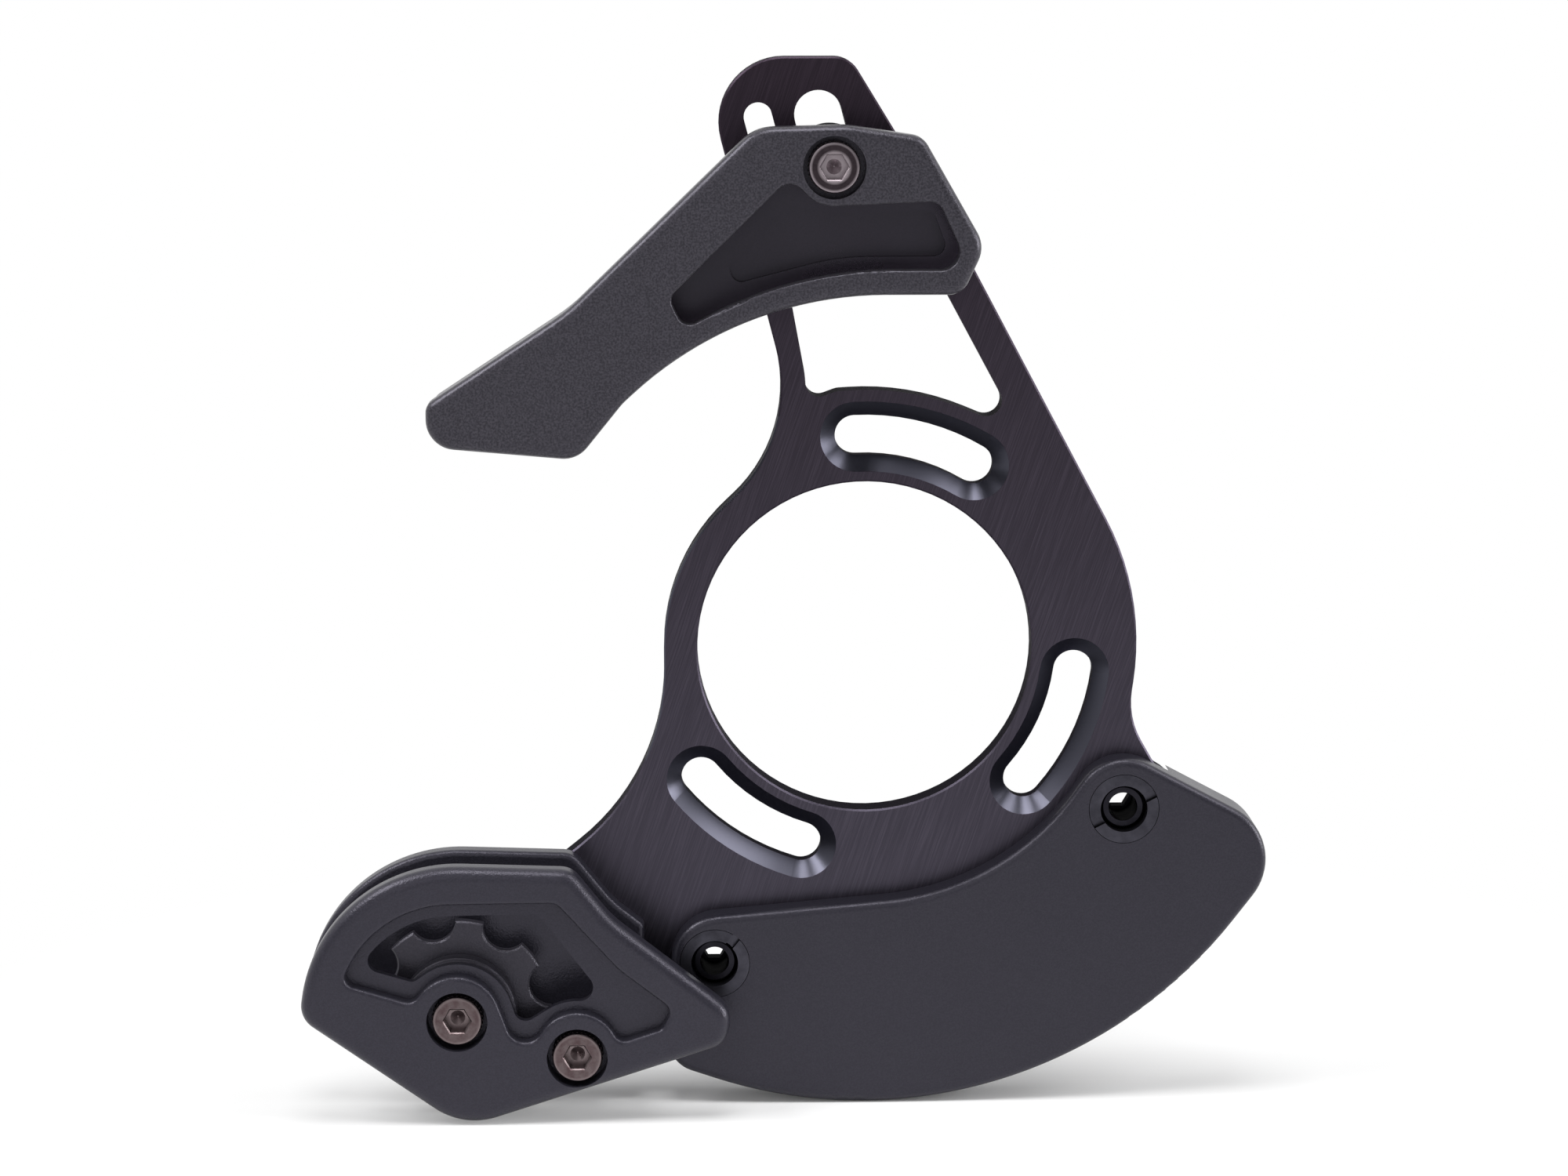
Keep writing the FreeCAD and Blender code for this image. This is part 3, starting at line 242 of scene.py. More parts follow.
@dataclass(frozen=True, kw_only=True)
class BrushedAnodised(Finish):
    """Black anodised aluminium over a brushed face: dark, with fine lighter strokes.

    A stroke of the real brush is finer than a pixel, so the strokes are drawn as wide as they show.
    Painted shade runs up the plate's height, for the dimmer room that its upper part reflects:
    blue-grey at the foot, and violet-black at the tab.
    The countersinks were machined after brushing, so they are smoother and carry the cutter's rings.
    Their paler, bluer colour is a painted highlight.
    """

    stroke: str
    stroke_wide: float = 0.24 * MM
    stroke_long: float = 11.0 * MM
    stroke_detail: float = 3.0
    stroke_fineness: float = 0.62
    bright_from: float = 0.42
    bright_full: float = 0.74
    lean: float = 71.0
    relief: float = 0.12
    depth: float = 0.03 * MM
    # Painted shade: towards the tab the colour is multiplied by this one, for the dimmer room that the
    # tab reflects.
    painted_shade: str = "#bfafb2"
    painted_shade_from: float = -65.0 * MM
    painted_shade_full: float = 95.0 * MM
    # Painted highlight: the paler, bluer colour that the countersinks take.
    countersink_highlight: str = "#4c4c56"
    cut_gloss: float = 0.3
    cut_ring: float = 0.14 * MM
    sink_circle: float = 36.5 * MM
    sink_half_wide: float = 6.1 * MM
    sink_middle: float = 3.7 * MM
    sink_half_deep: float = 1.27 * MM

    def pattern(
        self, tree: bpy.types.NodeTree, shader: bpy.types.Node, place: bpy.types.NodeSocket
    ) -> None:
        """Adds strokes along the brush's direction, painted shade towards the tab, and the cutter's rings
        and a painted highlight in the countersinks.

        Args:
            tree: the material's tree.
            shader: the material's shader.
            place: object coordinates.
        """
        along = add_node(
            tree,
            "ShaderNodeMapping",
            {
                "Vector": place,
                "Rotation": (0.0, -math.radians(self.lean), 0.0),
                "Scale": (self.stroke_long, self.stroke_wide, self.stroke_wide),
            },
            vector_type="TEXTURE",
        )
        strokes = add_node(
            tree,
            "ShaderNodeTexNoise",
            {
                "Vector": along.outputs["Vector"],
                "Scale": 1.0,
                "Detail": self.stroke_detail,
                "Roughness": self.stroke_fineness,
            },
        )
        across = add_node(
            tree,
            "ShaderNodeMapping",
            {"Vector": place, "Scale": (self.stroke_long, self.cut_ring, self.stroke_long)},
            vector_type="TEXTURE",
        )
        rings = add_node(tree, "ShaderNodeTexNoise", {"Vector": across.outputs["Vector"], "Scale": 1.0})
        machined = self.countersinks(tree, place)
        height = add_node(
            tree,
            "ShaderNodeMix",
            {"Factor": machined, "A": strokes.outputs["Fac"], "B": rings.outputs["Fac"]},
        )
        bright = add_node(
            tree,
            "ShaderNodeMapRange",
            {
                "Value": strokes.outputs["Fac"],
                "From Min": self.bright_from,
                "From Max": self.bright_full,
            },
        )
        brushed = add_node(
            tree,
            "ShaderNodeMix",
            {0: bright.outputs["Result"], COLOUR_A: linear(self.colour), COLOUR_B: linear(self.stroke)},
            data_type="RGBA",
        )
        # Painted shade: the plate turns darker and more violet up towards the tab.
        shade_share = add_node(
            tree,
            "ShaderNodeMapRange",
            {
                "Value": add_node(tree, "ShaderNodeSeparateXYZ", {"Vector": place}).outputs["Z"],
                "From Min": self.painted_shade_from,
                "From Max": self.painted_shade_full,
            },
        )
        shaded_plate = add_node(
            tree,
            "ShaderNodeMix",
            {
                0: shade_share.outputs["Result"],
                COLOUR_A: brushed.outputs[COLOUR_OUT],
                COLOUR_B: linear(self.painted_shade),
            },
            data_type="RGBA",
            blend_type="MULTIPLY",
        )
        # Painted highlight: the countersinks take a paler, bluer colour.
        colour = add_node(
            tree,
            "ShaderNodeMix",
            {0: machined, COLOUR_A: shaded_plate.outputs[COLOUR_OUT], COLOUR_B: linear(self.countersink_highlight)},
            data_type="RGBA",
        )
        gloss = add_node(
            tree,
            "ShaderNodeMix",
            {"Factor": machined, "A": self.uneven_gloss(tree, strokes), "B": self.cut_gloss},
        )
        relief = add_node(
            tree,
            "ShaderNodeBump",
            {"Strength": self.relief, "Distance": self.depth, "Height": height.outputs["Result"]},
        )
        looks = {
            "Base Color": colour.outputs[COLOUR_OUT],
            "Roughness": gloss.outputs["Result"],
            "Normal": relief.outputs["Normal"],
        }
        feed(tree, shader, looks)

    def countersinks(self, tree: bpy.types.NodeTree, place: bpy.types.NodeSocket) -> bpy.types.NodeSocket:
        """Marks the countersinks by their distance from the bore's axis and their depth.

        Args:
            tree: the material's tree.
            place: object coordinates.

        Returns:
            Output that is 1 in a countersink and 0 elsewhere.
        """
        depth = add_node(tree, "ShaderNodeSeparateXYZ", {"Vector": place}).outputs["Y"]
        in_ring = add_node(
            tree,
            "ShaderNodeMath",
            {0: off_axis(tree, place), 1: self.sink_circle, 2: self.sink_half_wide},
            operation="COMPARE",
        )
        in_depth = add_node(
            tree,
            "ShaderNodeMath",
            {0: depth, 1: -self.sink_middle, 2: self.sink_half_deep},
            operation="COMPARE",
        )
        both = add_node(
            tree,
            "ShaderNodeMath",
            {0: in_ring.outputs["Value"], 1: in_depth.outputs["Value"]},
            operation="MULTIPLY",
        )
        return both.outputs["Value"]


@dataclass(frozen=True, kw_only=True)
class MouldedNylon(Finish):
    """Glass-filled nylon from a spark-eroded mould: dark, satin, with a fine pebbled grain.

    The grain's glints are painted into the colour as lighter dots, more so where the mould was left
    coarse. The real grain is about 0.1 mm, and is drawn as coarse as it needs to show. The oil left in
    the grain makes the reflections weak and a little violet.
    """

    ior: float = 1.53
    specular: float = 0.42
    edge: str = "#ece7fa"
    # Painted glints: the grain's high points take this lighter colour.
    painted_glint: str
    painted_glint_from: float = 0.34
    painted_glint_full: float = 0.7
    grain: float = 0.3 * MM
    grain_detail: float = 1.0
    relief: float
    depth: float = 0.05 * MM
    cloud: float = 22.0 * MM
    cloud_detail: float = 3.0

    def pattern(
        self, tree: bpy.types.NodeTree, shader: bpy.types.Node, place: bpy.types.NodeSocket
    ) -> None:
        """Adds painted glints and relief from the grain, and slow drifts of gloss from the mould's flow.

        Args:
            tree: the material's tree.
            shader: the material's shader.
            place: object coordinates.
        """
        grain = add_node(
            tree,
            "ShaderNodeTexNoise",
            {"Vector": place, "Scale": 1.0 / self.grain, "Detail": self.grain_detail},
        )
        # Painted glints: a lighter colour where the grain is high.
        glint_share = add_node(
            tree,
            "ShaderNodeMapRange",
            {"Value": grain.outputs["Fac"], "From Min": self.painted_glint_from, "From Max": self.painted_glint_full},
        )
        colour = add_node(
            tree,
            "ShaderNodeMix",
            {0: glint_share.outputs["Result"], COLOUR_A: linear(self.colour), COLOUR_B: linear(self.painted_glint)},
            data_type="RGBA",
        )
        flow = add_node(
            tree,
            "ShaderNodeTexNoise",
            {"Vector": place, "Scale": 1.0 / self.cloud, "Detail": self.cloud_detail},
        )
        relief = add_node(
            tree,
            "ShaderNodeBump",
            {"Strength": self.relief, "Distance": self.depth, "Height": grain.outputs["Fac"]},
        )
        looks = {
            "Base Color": colour.outputs[COLOUR_OUT],
            "Roughness": self.uneven_gloss(tree, flow),
            "Normal": relief.outputs["Normal"],
        }
        feed(tree, shader, looks)


@dataclass(frozen=True, kw_only=True)
class PlatedMetal(Finish):
    """Plated, anodised or ground metal whose thin coat is stained in patches and finely pitted."""

    metallic: float = 1.0
    spread: float = 0.08
    stain: str
    stain_from: float = 0.38
    stain_full: float = 0.66
    patch: float = 1.2 * MM
    patch_detail: float = 4.0
    patch_fineness: float = 0.6
    pit: float = 0.16 * MM
    pit_deep: float = 0.02 * MM
    relief: float = 0.2

    def pattern(
        self, tree: bpy.types.NodeTree, shader: bpy.types.Node, place: bpy.types.NodeSocket
    ) -> None:
        """Adds stained patches to the colour and the gloss, and pits to the relief.

        Args:
            tree: the material's tree.
            shader: the material's shader.
            place: object coordinates.
        """
        patches = add_node(
            tree,
            "ShaderNodeTexNoise",
            {
                "Vector": place,
                "Scale": 1.0 / self.patch,
                "Detail": self.patch_detail,
                "Roughness": self.patch_fineness,
            },
        )
        share = add_node(
            tree,
            "ShaderNodeMapRange",
            {"Value": patches.outputs["Fac"], "From Min": self.stain_from, "From Max": self.stain_full},
        )
        colour = add_node(
            tree,
            "ShaderNodeMix",
            {0: share.outputs["Result"], COLOUR_A: linear(self.colour), COLOUR_B: linear(self.stain)},
            data_type="RGBA",
        )
        pits = add_node(tree, "ShaderNodeTexNoise", {"Vector": place, "Scale": 1.0 / self.pit})
        relief = add_node(
            tree,
            "ShaderNodeBump",
            {"Strength": self.relief, "Distance": self.pit_deep, "Height": pits.outputs["Fac"]},
        )
        looks = {
            "Base Color": colour.outputs[COLOUR_OUT],
            "Roughness": self.uneven_gloss(tree, patches),
            "Normal": relief.outputs["Normal"],
        }
        feed(tree, shader, looks)


@dataclass(frozen=True, kw_only=True)
class PaintedHighlightPlating(PlatedMetal):
    """Plating of a cap bolt, with painted highlights at the head's rim and round the key's socket.

    The highlights' bands are given as shares of the head's radius. The axis and the radius come from a
    bolt.
    """

    # Painted highlights: the colour of the bands at the rim and round the socket.
    painted_highlight: str
    axis_x: float = 0.0
    axis_z: float = 0.0
    radius: float = 0.0
    rim_from: float = 0.84
    rim_full: float = 0.93
    lip_from: float = 0.68
    lip_full: float = 0.58

    def on(self, bolt: str) -> PaintedHighlightPlating:
        """Centres the finish on a bolt.

        Args:
            bolt: name of the bolt's node.

        Returns:
            The finish for that bolt.
        """
        low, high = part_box(bolt)
        middle = (low + high) / 2
        return replace(
            self,
            name=f"{self.name}_{bolt}",
            axis_x=middle.x,
            axis_z=middle.z,
            radius=(high.x - low.x) / 2,
        )

    def pattern(
        self, tree: bpy.types.NodeTree, shader: bpy.types.Node, place: bpy.types.NodeSocket
    ) -> None:
        """Adds the plating's pattern and, by the distance from the bolt's axis, the painted highlights.

        Args:
            tree: the material's tree.
            shader: the material's shader.
            place: object coordinates.
        """
        super().pattern(tree, shader, place)
        plated = shader.inputs["Base Color"].links[0].from_socket
        away = off_axis(tree, place, self.axis_x, self.axis_z)
        # Painted highlights: paler bands at the head's rim and round the socket's lip.
        bands = []
        for start, full in ((self.rim_from, self.rim_full), (self.lip_from, self.lip_full)):
            band = add_node(
                tree,
                "ShaderNodeMapRange",
                {"Value": away, "From Min": start * self.radius, "From Max": full * self.radius},
            )
            bands.append(band.outputs["Result"])
        lit_bands = add_node(tree, "ShaderNodeMath", {0: bands[0], 1: bands[1]}, operation="MAXIMUM")
        colour = add_node(
            tree,
            "ShaderNodeMix",
            {0: lit_bands.outputs["Value"], COLOUR_A: plated, COLOUR_B: linear(self.painted_highlight)},
            data_type="RGBA",
        )
        feed(tree, shader, {"Base Color": colour.outputs[COLOUR_OUT]})


# Anodised black over brushed aluminium: satin, with strokes that lean with the arm.
BRUSHED_PLATE = BrushedAnodised(
    "black_anodised_brushed_aluminium", "#45424c", 0.38, metallic=0.95, edge="#37373c", stroke="#55515d"
)
# Satin nylon: flat charcoal faces, and rims whose grain sparkles in the highlight.
CAGE_NYLON = MouldedNylon("cage_satin_nylon", "#212027", 0.33, painted_glint="#28272f", relief=1.0)
# The same nylon from a coarser mould: painted glints as grey dots all over the face.
GUIDE_NYLON = MouldedNylon(
    "upper_guide_grained_nylon", "#1f1e22", 0.3, painted_glint="#3b393f", grain=0.34 * MM, relief=0.6
)
# The inner half comes from a polished mould: near black, with soft reflections.
SMOOTH_NYLON = MouldedNylon("upper_guide_smooth_nylon", "#1a161d", 0.28, painted_glint="#1f1a22", relief=0.08)
# Satin nylon, a little duller than the cage's.
BASH_NYLON = MouldedNylon("bash_guard_satin_nylon", "#1e1d24", 0.36, painted_glint="#25242b", relief=0.8)
# Satin nylon, a little paler than the cage's, so that the teeth show in the shade of the window.
PULLEY_NYLON = MouldedNylon("pulley_nylon", "#28272d", 0.34, painted_glint="#312f36", relief=0.8)
# Thin plating over steel: brown-grey with warm and cool stains, and paler painted highlights on the head.
BRONZED_STEEL = PaintedHighlightPlating(
    "bronze_grey_plated_steel",
    "#655a5b",
    0.34,
    stain="#57484a",
    painted_highlight="#7a6e6f",
    lip_from=0.54,
    lip_full=0.5,
)
# A greyer batch of the same plating, with brighter painted highlights.
GREY_STEEL = PaintedHighlightPlating("grey_plated_steel", "#3f373b", 0.34, stain="#352e32", painted_highlight="#978d92")
# The knurls round the heads' sides, down in the counterbores: a darker tone of the plating, painted
# shade.
SHADED_STEEL = PlatedMetal("dark_plated_steel", "#3b3537", 0.4, stain="#322c2e")
# Anodised black over turned aluminium: blue-black, even.
BLACK_HARDWARE = PlatedMetal(
    "black_anodised_hardware",
    "#46454d",
    0.36,
    metallic=0.95,
    edge="#404045",
    stain="#3a3940",
    patch=3.0 * MM,
    relief=0.1,
)
# The hollow bolts deep inside the nuts: the nuts' coat made near black, painted shade.
PAINTED_SHADE_HARDWARE = replace(
    BLACK_HARDWARE, name="hollow_bolts_painted_shade", colour="#2a292f", edge="#333338", stain="#25242a"
)
# Ground steel: bright and smooth.
BEARING_STEEL = PlatedMetal(
    "ground_bearing_steel", "#b9b9bd", 0.24, stain="#9c9ca2", patch=4.0 * MM, relief=0.06
)
# Turned aluminium: pale grey, a little duller than the steel.
TURNED_ALUMINIUM = PlatedMetal(
    "turned_aluminium", "#9a9aa0", 0.32, stain="#85858c", patch=3.0 * MM, relief=0.1
)


class KnurlTree:
    """Geometry Nodes tree for the straight knurl round a bolt head."""

    FLOATS = ("Radius", "Height", "Ridge")
    RIDGE_SIDES = 6

    def __init__(self) -> None:
        """Builds the tree with named inputs for the knurl's sizes."""
        tree = bpy.data.node_groups.new("straight_knurl", "GeometryNodeTree")
        for name in self.FLOATS:
            tree.interface.new_socket(name=name, in_out="INPUT", socket_type="NodeSocketFloat")
        tree.interface.new_socket(name="Count", in_out="INPUT", socket_type="NodeSocketInt")
        tree.interface.new_socket(name="Material", in_out="INPUT", socket_type="NodeSocketMaterial")
        tree.interface.new_socket(name="Geometry", in_out="OUTPUT", socket_type="NodeSocketGeometry")
        given = add_node(tree, "NodeGroupInput").outputs
        ring = add_node(
            tree, "GeometryNodeMeshCircle", {"Vertices": given["Count"], "Radius": given["Radius"]}
        )
        ridge = add_node(
            tree,
            "GeometryNodeMeshCylinder",
            {"Vertices": self.RIDGE_SIDES, "Radius": given["Ridge"], "Depth": given["Height"]},
        )
        ridges = add_node(
            tree,
            "GeometryNodeInstanceOnPoints",
            {"Points": ring.outputs["Mesh"], "Instance": ridge.outputs["Mesh"]},
        )
        real = add_node(tree, "GeometryNodeRealizeInstances", {"Geometry": ridges.outputs["Instances"]})
        painted = add_node(
            tree,
            "GeometryNodeSetMaterial",
            {"Geometry": real.outputs["Geometry"], "Material": given["Material"]},
        )
        add_node(tree, "NodeGroupOutput", {"Geometry": painted.outputs["Geometry"]})
        self.tree = tree

    def mesh(self, name: str, values: dict[str, object]) -> bpy.types.Mesh:
        """Runs the tree and keeps its result as a plain mesh.

        Args:
            name: name of the mesh.
            values: the inputs' names and values.

        Returns:
            The knurl about the Z axis, centred on the origin.
        """
        holder = bpy.data.objects.new(f"{name}_holder", bpy.data.meshes.new(f"{name}_empty"))
        bpy.context.scene.collection.objects.link(holder)
        modifier = holder.modifiers.new("knurl", "NODES")
        modifier.node_group = self.tree
        for item in self.tree.interface.items_tree:
            if item.in_out == "INPUT":
                modifier[item.identifier] = values[item.name]
        bpy.context.view_layer.update()
        ready = holder.evaluated_get(bpy.context.evaluated_depsgraph_get())
        made = bpy.data.meshes.new_from_object(ready)
        made.name = name
        bpy.data.objects.remove(holder)
        return made


@dataclass(frozen=True)
class HeadKnurl:
    """Finish and sizes of the straight knurl round the head of an M5 bolt.

    A ridge's axis lies under the head's side by the ridge's radius over sink_part.
    """

    finish: Finish = SHADED_STEEL
    ridges: int = 36
    ridge: float = 0.2 * MM
    sink_part: int = 3
    below_face: float = 0.7 * MM
    height: float = 2.4 * MM

    def build(self, tree: KnurlTree, bolt: str, body: Body) -> None:
        """Makes the knurl where a bolt's head is.

        Args:
            tree: tree that makes it.
            bolt: name of the bolt's node.
            body: body that the bolt moves with.
        """
        low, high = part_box(bolt)
        radius = (high.x - low.x) / 2
        centre = (low + high) / 2
        centre.y = low.y + self.below_face + self.height / 2
        values = {
            "Radius": radius - self.ridge / self.sink_part,
            "Height": self.height,
            "Ridge": self.ridge,
            "Count": self.ridges,
            "Material": self.finish.material(),
        }
        mesh = tree.mesh(f"{bolt}_knurl", values)
        mesh.transform(Matrix.Translation(centre) @ Matrix.Rotation(math.radians(90.0), 4, "X"))
        piece = bpy.data.objects.new(mesh.name, mesh)
        bpy.context.scene.collection.objects.link(piece)
        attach(piece, body.value)
        LOG.info("%s: %d ridges", piece.name, self.ridges)


@dataclass
class SubAssembly:
    """Nodes that are put together as one and move with one body."""

    body: Body = Body.FRAME

    def finishes(self) -> dict[str, Finish]:
        """Returns each node's name and finish."""
        raise NotImplementedError

    def build(self, tree: KnurlTree) -> None:
        """Makes the small pieces that the nodes don't have; most sub-assemblies have none."""

    def dress(self, nodes: dict[str, bpy.types.Object]) -> None:
        """Gives each node its finish.

        Args:
            nodes: the frame's objects by name.
        """
        for name, finish in self.finishes().items():
            slots = nodes[name].data.materials
            slots.clear()
            slots.append(finish.material())
            LOG.info("%s: %s", name, finish.name)


@dataclass
class Backplate(SubAssembly):
    """Plate round the bore with its three countersunk arc slots, the arm and the tab."""

    plate: Finish = BRUSHED_PLATE

    def finishes(self) -> dict[str, Finish]:
        """Returns the plate's finish."""
        return {"backplate": self.plate}


@dataclass
class PulleyCage(SubAssembly):
    """Two halves round the pulley, on two bolts with their spacers and the bearing's inner ring."""

    moulding: Finish = CAGE_NYLON
    bolt: PaintedHighlightPlating = BRONZED_STEEL
    spacer: Finish = TURNED_ALUMINIUM
    bearing: Finish = BEARING_STEEL
    bolts: tuple[str, ...] = ("pulley_bolt", "cage_bolt")
    knurl: HeadKnurl = HeadKnurl()

    def finishes(self) -> dict[str, Finish]:
        """Returns the finishes of the halves, bolts, spacers and ring."""
        return {
            "cage_inner": self.moulding,
            "cage_outer": self.moulding,
            "pulley_spacer": self.spacer,
            "cage_spacer": self.spacer,
            "bearing_inner_ring": self.bearing,
            **{name: self.bolt.on(name) for name in self.bolts},
        }

    def build(self, tree: KnurlTree) -> None:
        """Makes the knurls of the two heads."""
        for name in self.bolts:
            self.knurl.build(tree, name, self.body)


@dataclass
class BashGuard(SubAssembly):
    """Curved guard with a slotted sleeve nut and a hollow bolt in each ear."""

    moulding: Finish = BASH_NYLON
    nut: Finish = BLACK_HARDWARE
    bolt: Finish = PAINTED_SHADE_HARDWARE
    ears: tuple[str, ...] = ("front", "rear")

    def finishes(self) -> dict[str, Finish]:
        """Returns the finishes of the guard and of each ear's nut and bolt."""
        nuts = {f"bash_nut_{ear}": self.nut for ear in self.ears}
        bolts = {f"bash_bolt_{ear}": self.bolt for ear in self.ears}
        return {"bash_guard": self.moulding, **nuts, **bolts}


@dataclass
class Pulley(SubAssembly):
    """Toothed wheel on its ball bearing."""

    body: Body = Body.PULLEY
    wheel: Finish = PULLEY_NYLON
    bearing: Finish = BEARING_STEEL
    bearing_nodes: tuple[str, ...] = ("outer_ring", "balls", "shield_rear", "shield_front")

    def finishes(self) -> dict[str, Finish]:
        """Returns the finishes of the wheel and of what turns in its bearing."""
        turning = {f"bearing_{name}": self.bearing for name in self.bearing_nodes}
        return {"pulley_wheel": self.wheel, **turning}


@dataclass
class UpperGuide(SubAssembly):
    """Two halves over the chain's upper run, clamped to the tab by one bolt, spacer and nut."""

    body: Body = Body.UPPER_GUIDE
    outer: Finish = GUIDE_NYLON
    inner: Finish = SMOOTH_NYLON
    bolt: PaintedHighlightPlating = GREY_STEEL
    spacer: Finish = TURNED_ALUMINIUM
    nut: Finish = BLACK_HARDWARE
    knurl: HeadKnurl = HeadKnurl()

    def finishes(self) -> dict[str, Finish]:
        """Returns the finishes of the halves, bolt, spacer and nut."""
        return {
            "upper_guide_outer": self.outer,
            "upper_guide_inner": self.inner,
            "upper_guide_bolt": self.bolt.on("upper_guide_bolt"),
            "upper_guide_spacer": self.spacer,
            "upper_guide_nut": self.nut,
        }

    def build(self, tree: KnurlTree) -> None:
        """Makes the knurl of the bolt's head."""
        self.knurl.build(tree, "upper_guide_bolt", self.body)


@dataclass(frozen=True)
class SoftBox:
    """Square studio light that faces the guide."""

    name: str
    place: tuple[float, float, float]
    size: float
    watts: float

    def build(self, aim: Vector) -> None:
        """Hangs the light and turns it to a point.

        Args:
            aim: the point.
        """
        lamp = bpy.data.lights.new(self.name, "AREA")
        lamp.size = self.size
        lamp.energy = self.watts
        holder = bpy.data.objects.new(self.name, lamp)
        holder.location = self.place
        holder.rotation_euler = (aim - Vector(self.place)).to_track_quat("-Z", "Y").to_euler()
        bpy.context.scene.collection.objects.link(holder)


def background_seen(tree: bpy.types.NodeTree) -> bpy.types.NodeSocket:
    """Tells the rays that show the background from those that light the guide.

    Args:
        tree: tree of the world or of a stage material.

    Returns:
        Output that is 1 for the eye and for mirrored and refracted rays, and 0 otherwise.
    """
    path = add_node(tree, "ShaderNodeLightPath").outputs
    direct = add_node(
        tree, "ShaderNodeMath", {0: path["Is Camera Ray"], 1: path["Is Glossy Ray"]}, operation="MAXIMUM"
    )
    seen = add_node(
        tree,
        "ShaderNodeMath",
        {0: direct.outputs["Value"], 1: path["Is Transmission Ray"]},
        operation="MAXIMUM",
    )
    return seen.outputs["Value"]


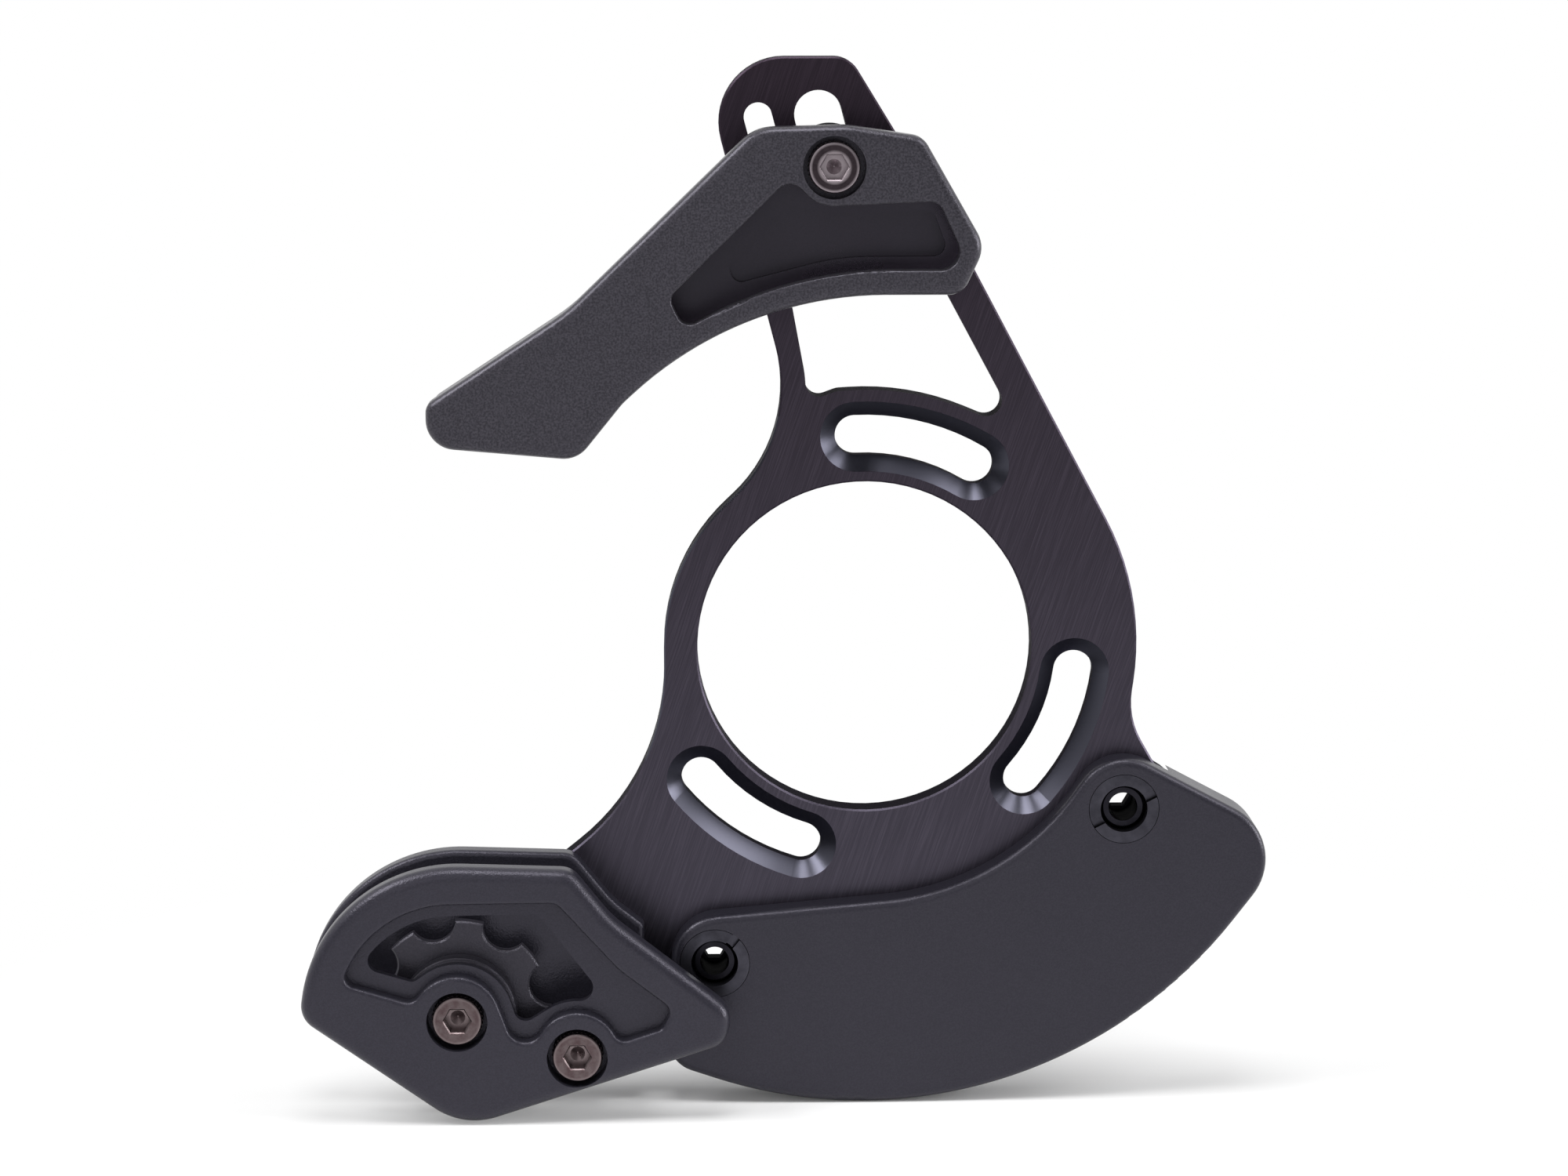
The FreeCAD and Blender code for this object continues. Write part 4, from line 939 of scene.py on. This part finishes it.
@dataclass
class Studio:
    """White floor and backdrop, a dimmer room in front, and an arc of soft boxes over the guide."""

    floor_half: float = 16.0
    floor_colour: str = "#f4f4f4"
    shadow_reach: float = 0.075
    white_from: float = 0.2
    ambient: float = 0.3
    room: float = 0.3
    room_until: float = -0.7
    white_after: float = 0.1
    boxes: tuple[SoftBox, ...] = (
        SoftBox("top_box", (-0.05, -0.22, 1.1), 0.45, 5.5),
        SoftBox("left_box", (-0.72, -0.2, 0.8), 0.45, 6.0),
        SoftBox("right_box", (0.72, -0.2, 0.8), 0.45, 3.5),
        SoftBox("side_box", (1.05, -0.1, 0.2), 0.45, 6.0),
        SoftBox("front_box", (-0.5, -1.5, 0.7), 1.0, 3.0),
    )

    def floor(self, level: float) -> None:
        """Lays the floor.

        Args:
            level: the guide's lowest point.
        """
        mesh = bpy.data.meshes.new("studio_floor")
        shell = bmesh.new()
        half = self.floor_half
        signs = ((-1, -1), (1, -1), (1, 1), (-1, 1))
        shell.faces.new([shell.verts.new((x * half, y * half, level)) for x, y in signs])
        shell.to_mesh(mesh)
        shell.free()
        mesh.materials.append(self.floor_material())
        floor = bpy.data.objects.new("studio_floor", mesh)
        bpy.context.scene.collection.objects.link(floor)
        floor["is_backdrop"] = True

    def floor_material(self) -> bpy.types.Material:
        """Returns a matt white that takes the guide's shadow and fades to the background's white."""
        material = bpy.data.materials.new("studio_white")
        material.use_nodes = True
        tree = material.node_tree
        tree.nodes.clear()
        matt = add_node(tree, "ShaderNodeBsdfDiffuse", {"Color": linear(self.floor_colour)})
        white = add_node(
            tree, "ShaderNodeEmission", {"Color": linear(WHITE), "Strength": WHITE_STRENGTH}
        )
        place = add_node(tree, "ShaderNodeTexCoord").outputs["Object"]
        away = add_node(tree, "ShaderNodeVectorMath", {0: place}, operation="LENGTH")
        fade = add_node(
            tree,
            "ShaderNodeMapRange",
            {"Value": away.outputs["Value"], "From Min": self.shadow_reach, "From Max": self.white_from},
        )
        share = add_node(
            tree,
            "ShaderNodeMath",
            {0: fade.outputs["Result"], 1: background_seen(tree)},
            operation="MULTIPLY",
        )
        both = add_node(
            tree,
            "ShaderNodeMixShader",
            {0: share.outputs["Value"], 1: matt.outputs["BSDF"], 2: white.outputs["Emission"]},
        )
        add_node(tree, "ShaderNodeOutputMaterial", {"Surface": both.outputs["Shader"]})
        return material

    def surround(self) -> None:
        """Makes the world white behind and dim in front, to the eye and in reflections."""
        world = bpy.data.worlds.new("studio_surround")
        world.use_nodes = True
        tree = world.node_tree
        tree.nodes.clear()
        toward = add_node(tree, "ShaderNodeTexCoord").outputs["Generated"]
        behind = add_node(
            tree,
            "ShaderNodeMapRange",
            {
                "Value": add_node(tree, "ShaderNodeSeparateXYZ", {"Vector": toward}).outputs["Y"],
                "From Min": self.room_until,
                "From Max": self.white_after,
                "To Min": self.room,
                "To Max": WHITE_STRENGTH,
            },
        )
        strength = add_node(
            tree,
            "ShaderNodeMix",
            {"Factor": background_seen(tree), "A": self.ambient, "B": behind.outputs["Result"]},
        )
        white = add_node(
            tree,
            "ShaderNodeBackground",
            {"Color": linear(WHITE), "Strength": strength.outputs["Result"]},
        )
        add_node(tree, "ShaderNodeOutputWorld", {"Surface": white.outputs["Background"]})
        bpy.context.scene.world = world

    def build(self, low: Vector, high: Vector) -> None:
        """Sets up the floor, the surround and the lights.

        Args:
            low: lowest corner of the guide's box.
            high: highest corner of it.
        """
        self.floor(low.z)
        self.surround()
        middle = (low + high) / 2
        for box in self.boxes:
            box.build(middle)
        bpy.context.scene.view_settings.view_transform = "Standard"


@dataclass(frozen=True)
class PhotoCamera:
    """Camera at the photograph's viewpoint: outboard, a little above and to the rear of the bore."""

    place: tuple[float, float, float] = (-30.8 * MM, -612.7 * MM, 120.1 * MM)
    forward: tuple[float, float, float] = (0.0274, 0.9838, -0.1776)
    lens: float = 82.8
    sensor: float = 36.0

    def build(self) -> None:
        """Adds the camera and makes it the scene's own."""
        data = bpy.data.cameras.new("photo_camera")
        data.lens = self.lens
        data.sensor_width = self.sensor
        data.sensor_fit = "HORIZONTAL"
        camera = bpy.data.objects.new("photo_camera", data)
        camera.location = self.place
        camera.rotation_euler = Vector(self.forward).to_track_quat("-Z", "Y").to_euler()
        bpy.context.scene.collection.objects.link(camera)
        bpy.context.scene.camera = camera


def main() -> None:
    """Builds the scene in order: frame, sub-assemblies, studio and camera."""
    logging.basicConfig(level=logging.INFO, format="%(name)s: %(message)s")
    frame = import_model()
    cad_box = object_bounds()
    tree = KnurlTree()
    for part in (Backplate(), PulleyCage(), BashGuard(), Pulley(), UpperGuide()):
        LOG.info("%s on %s", type(part).__name__, part.body.value)
        part.dress(frame["nodes"])
        part.build(tree)
    Studio().build(*cad_box)
    PhotoCamera().build()


if __name__ == "__main__":
    main()
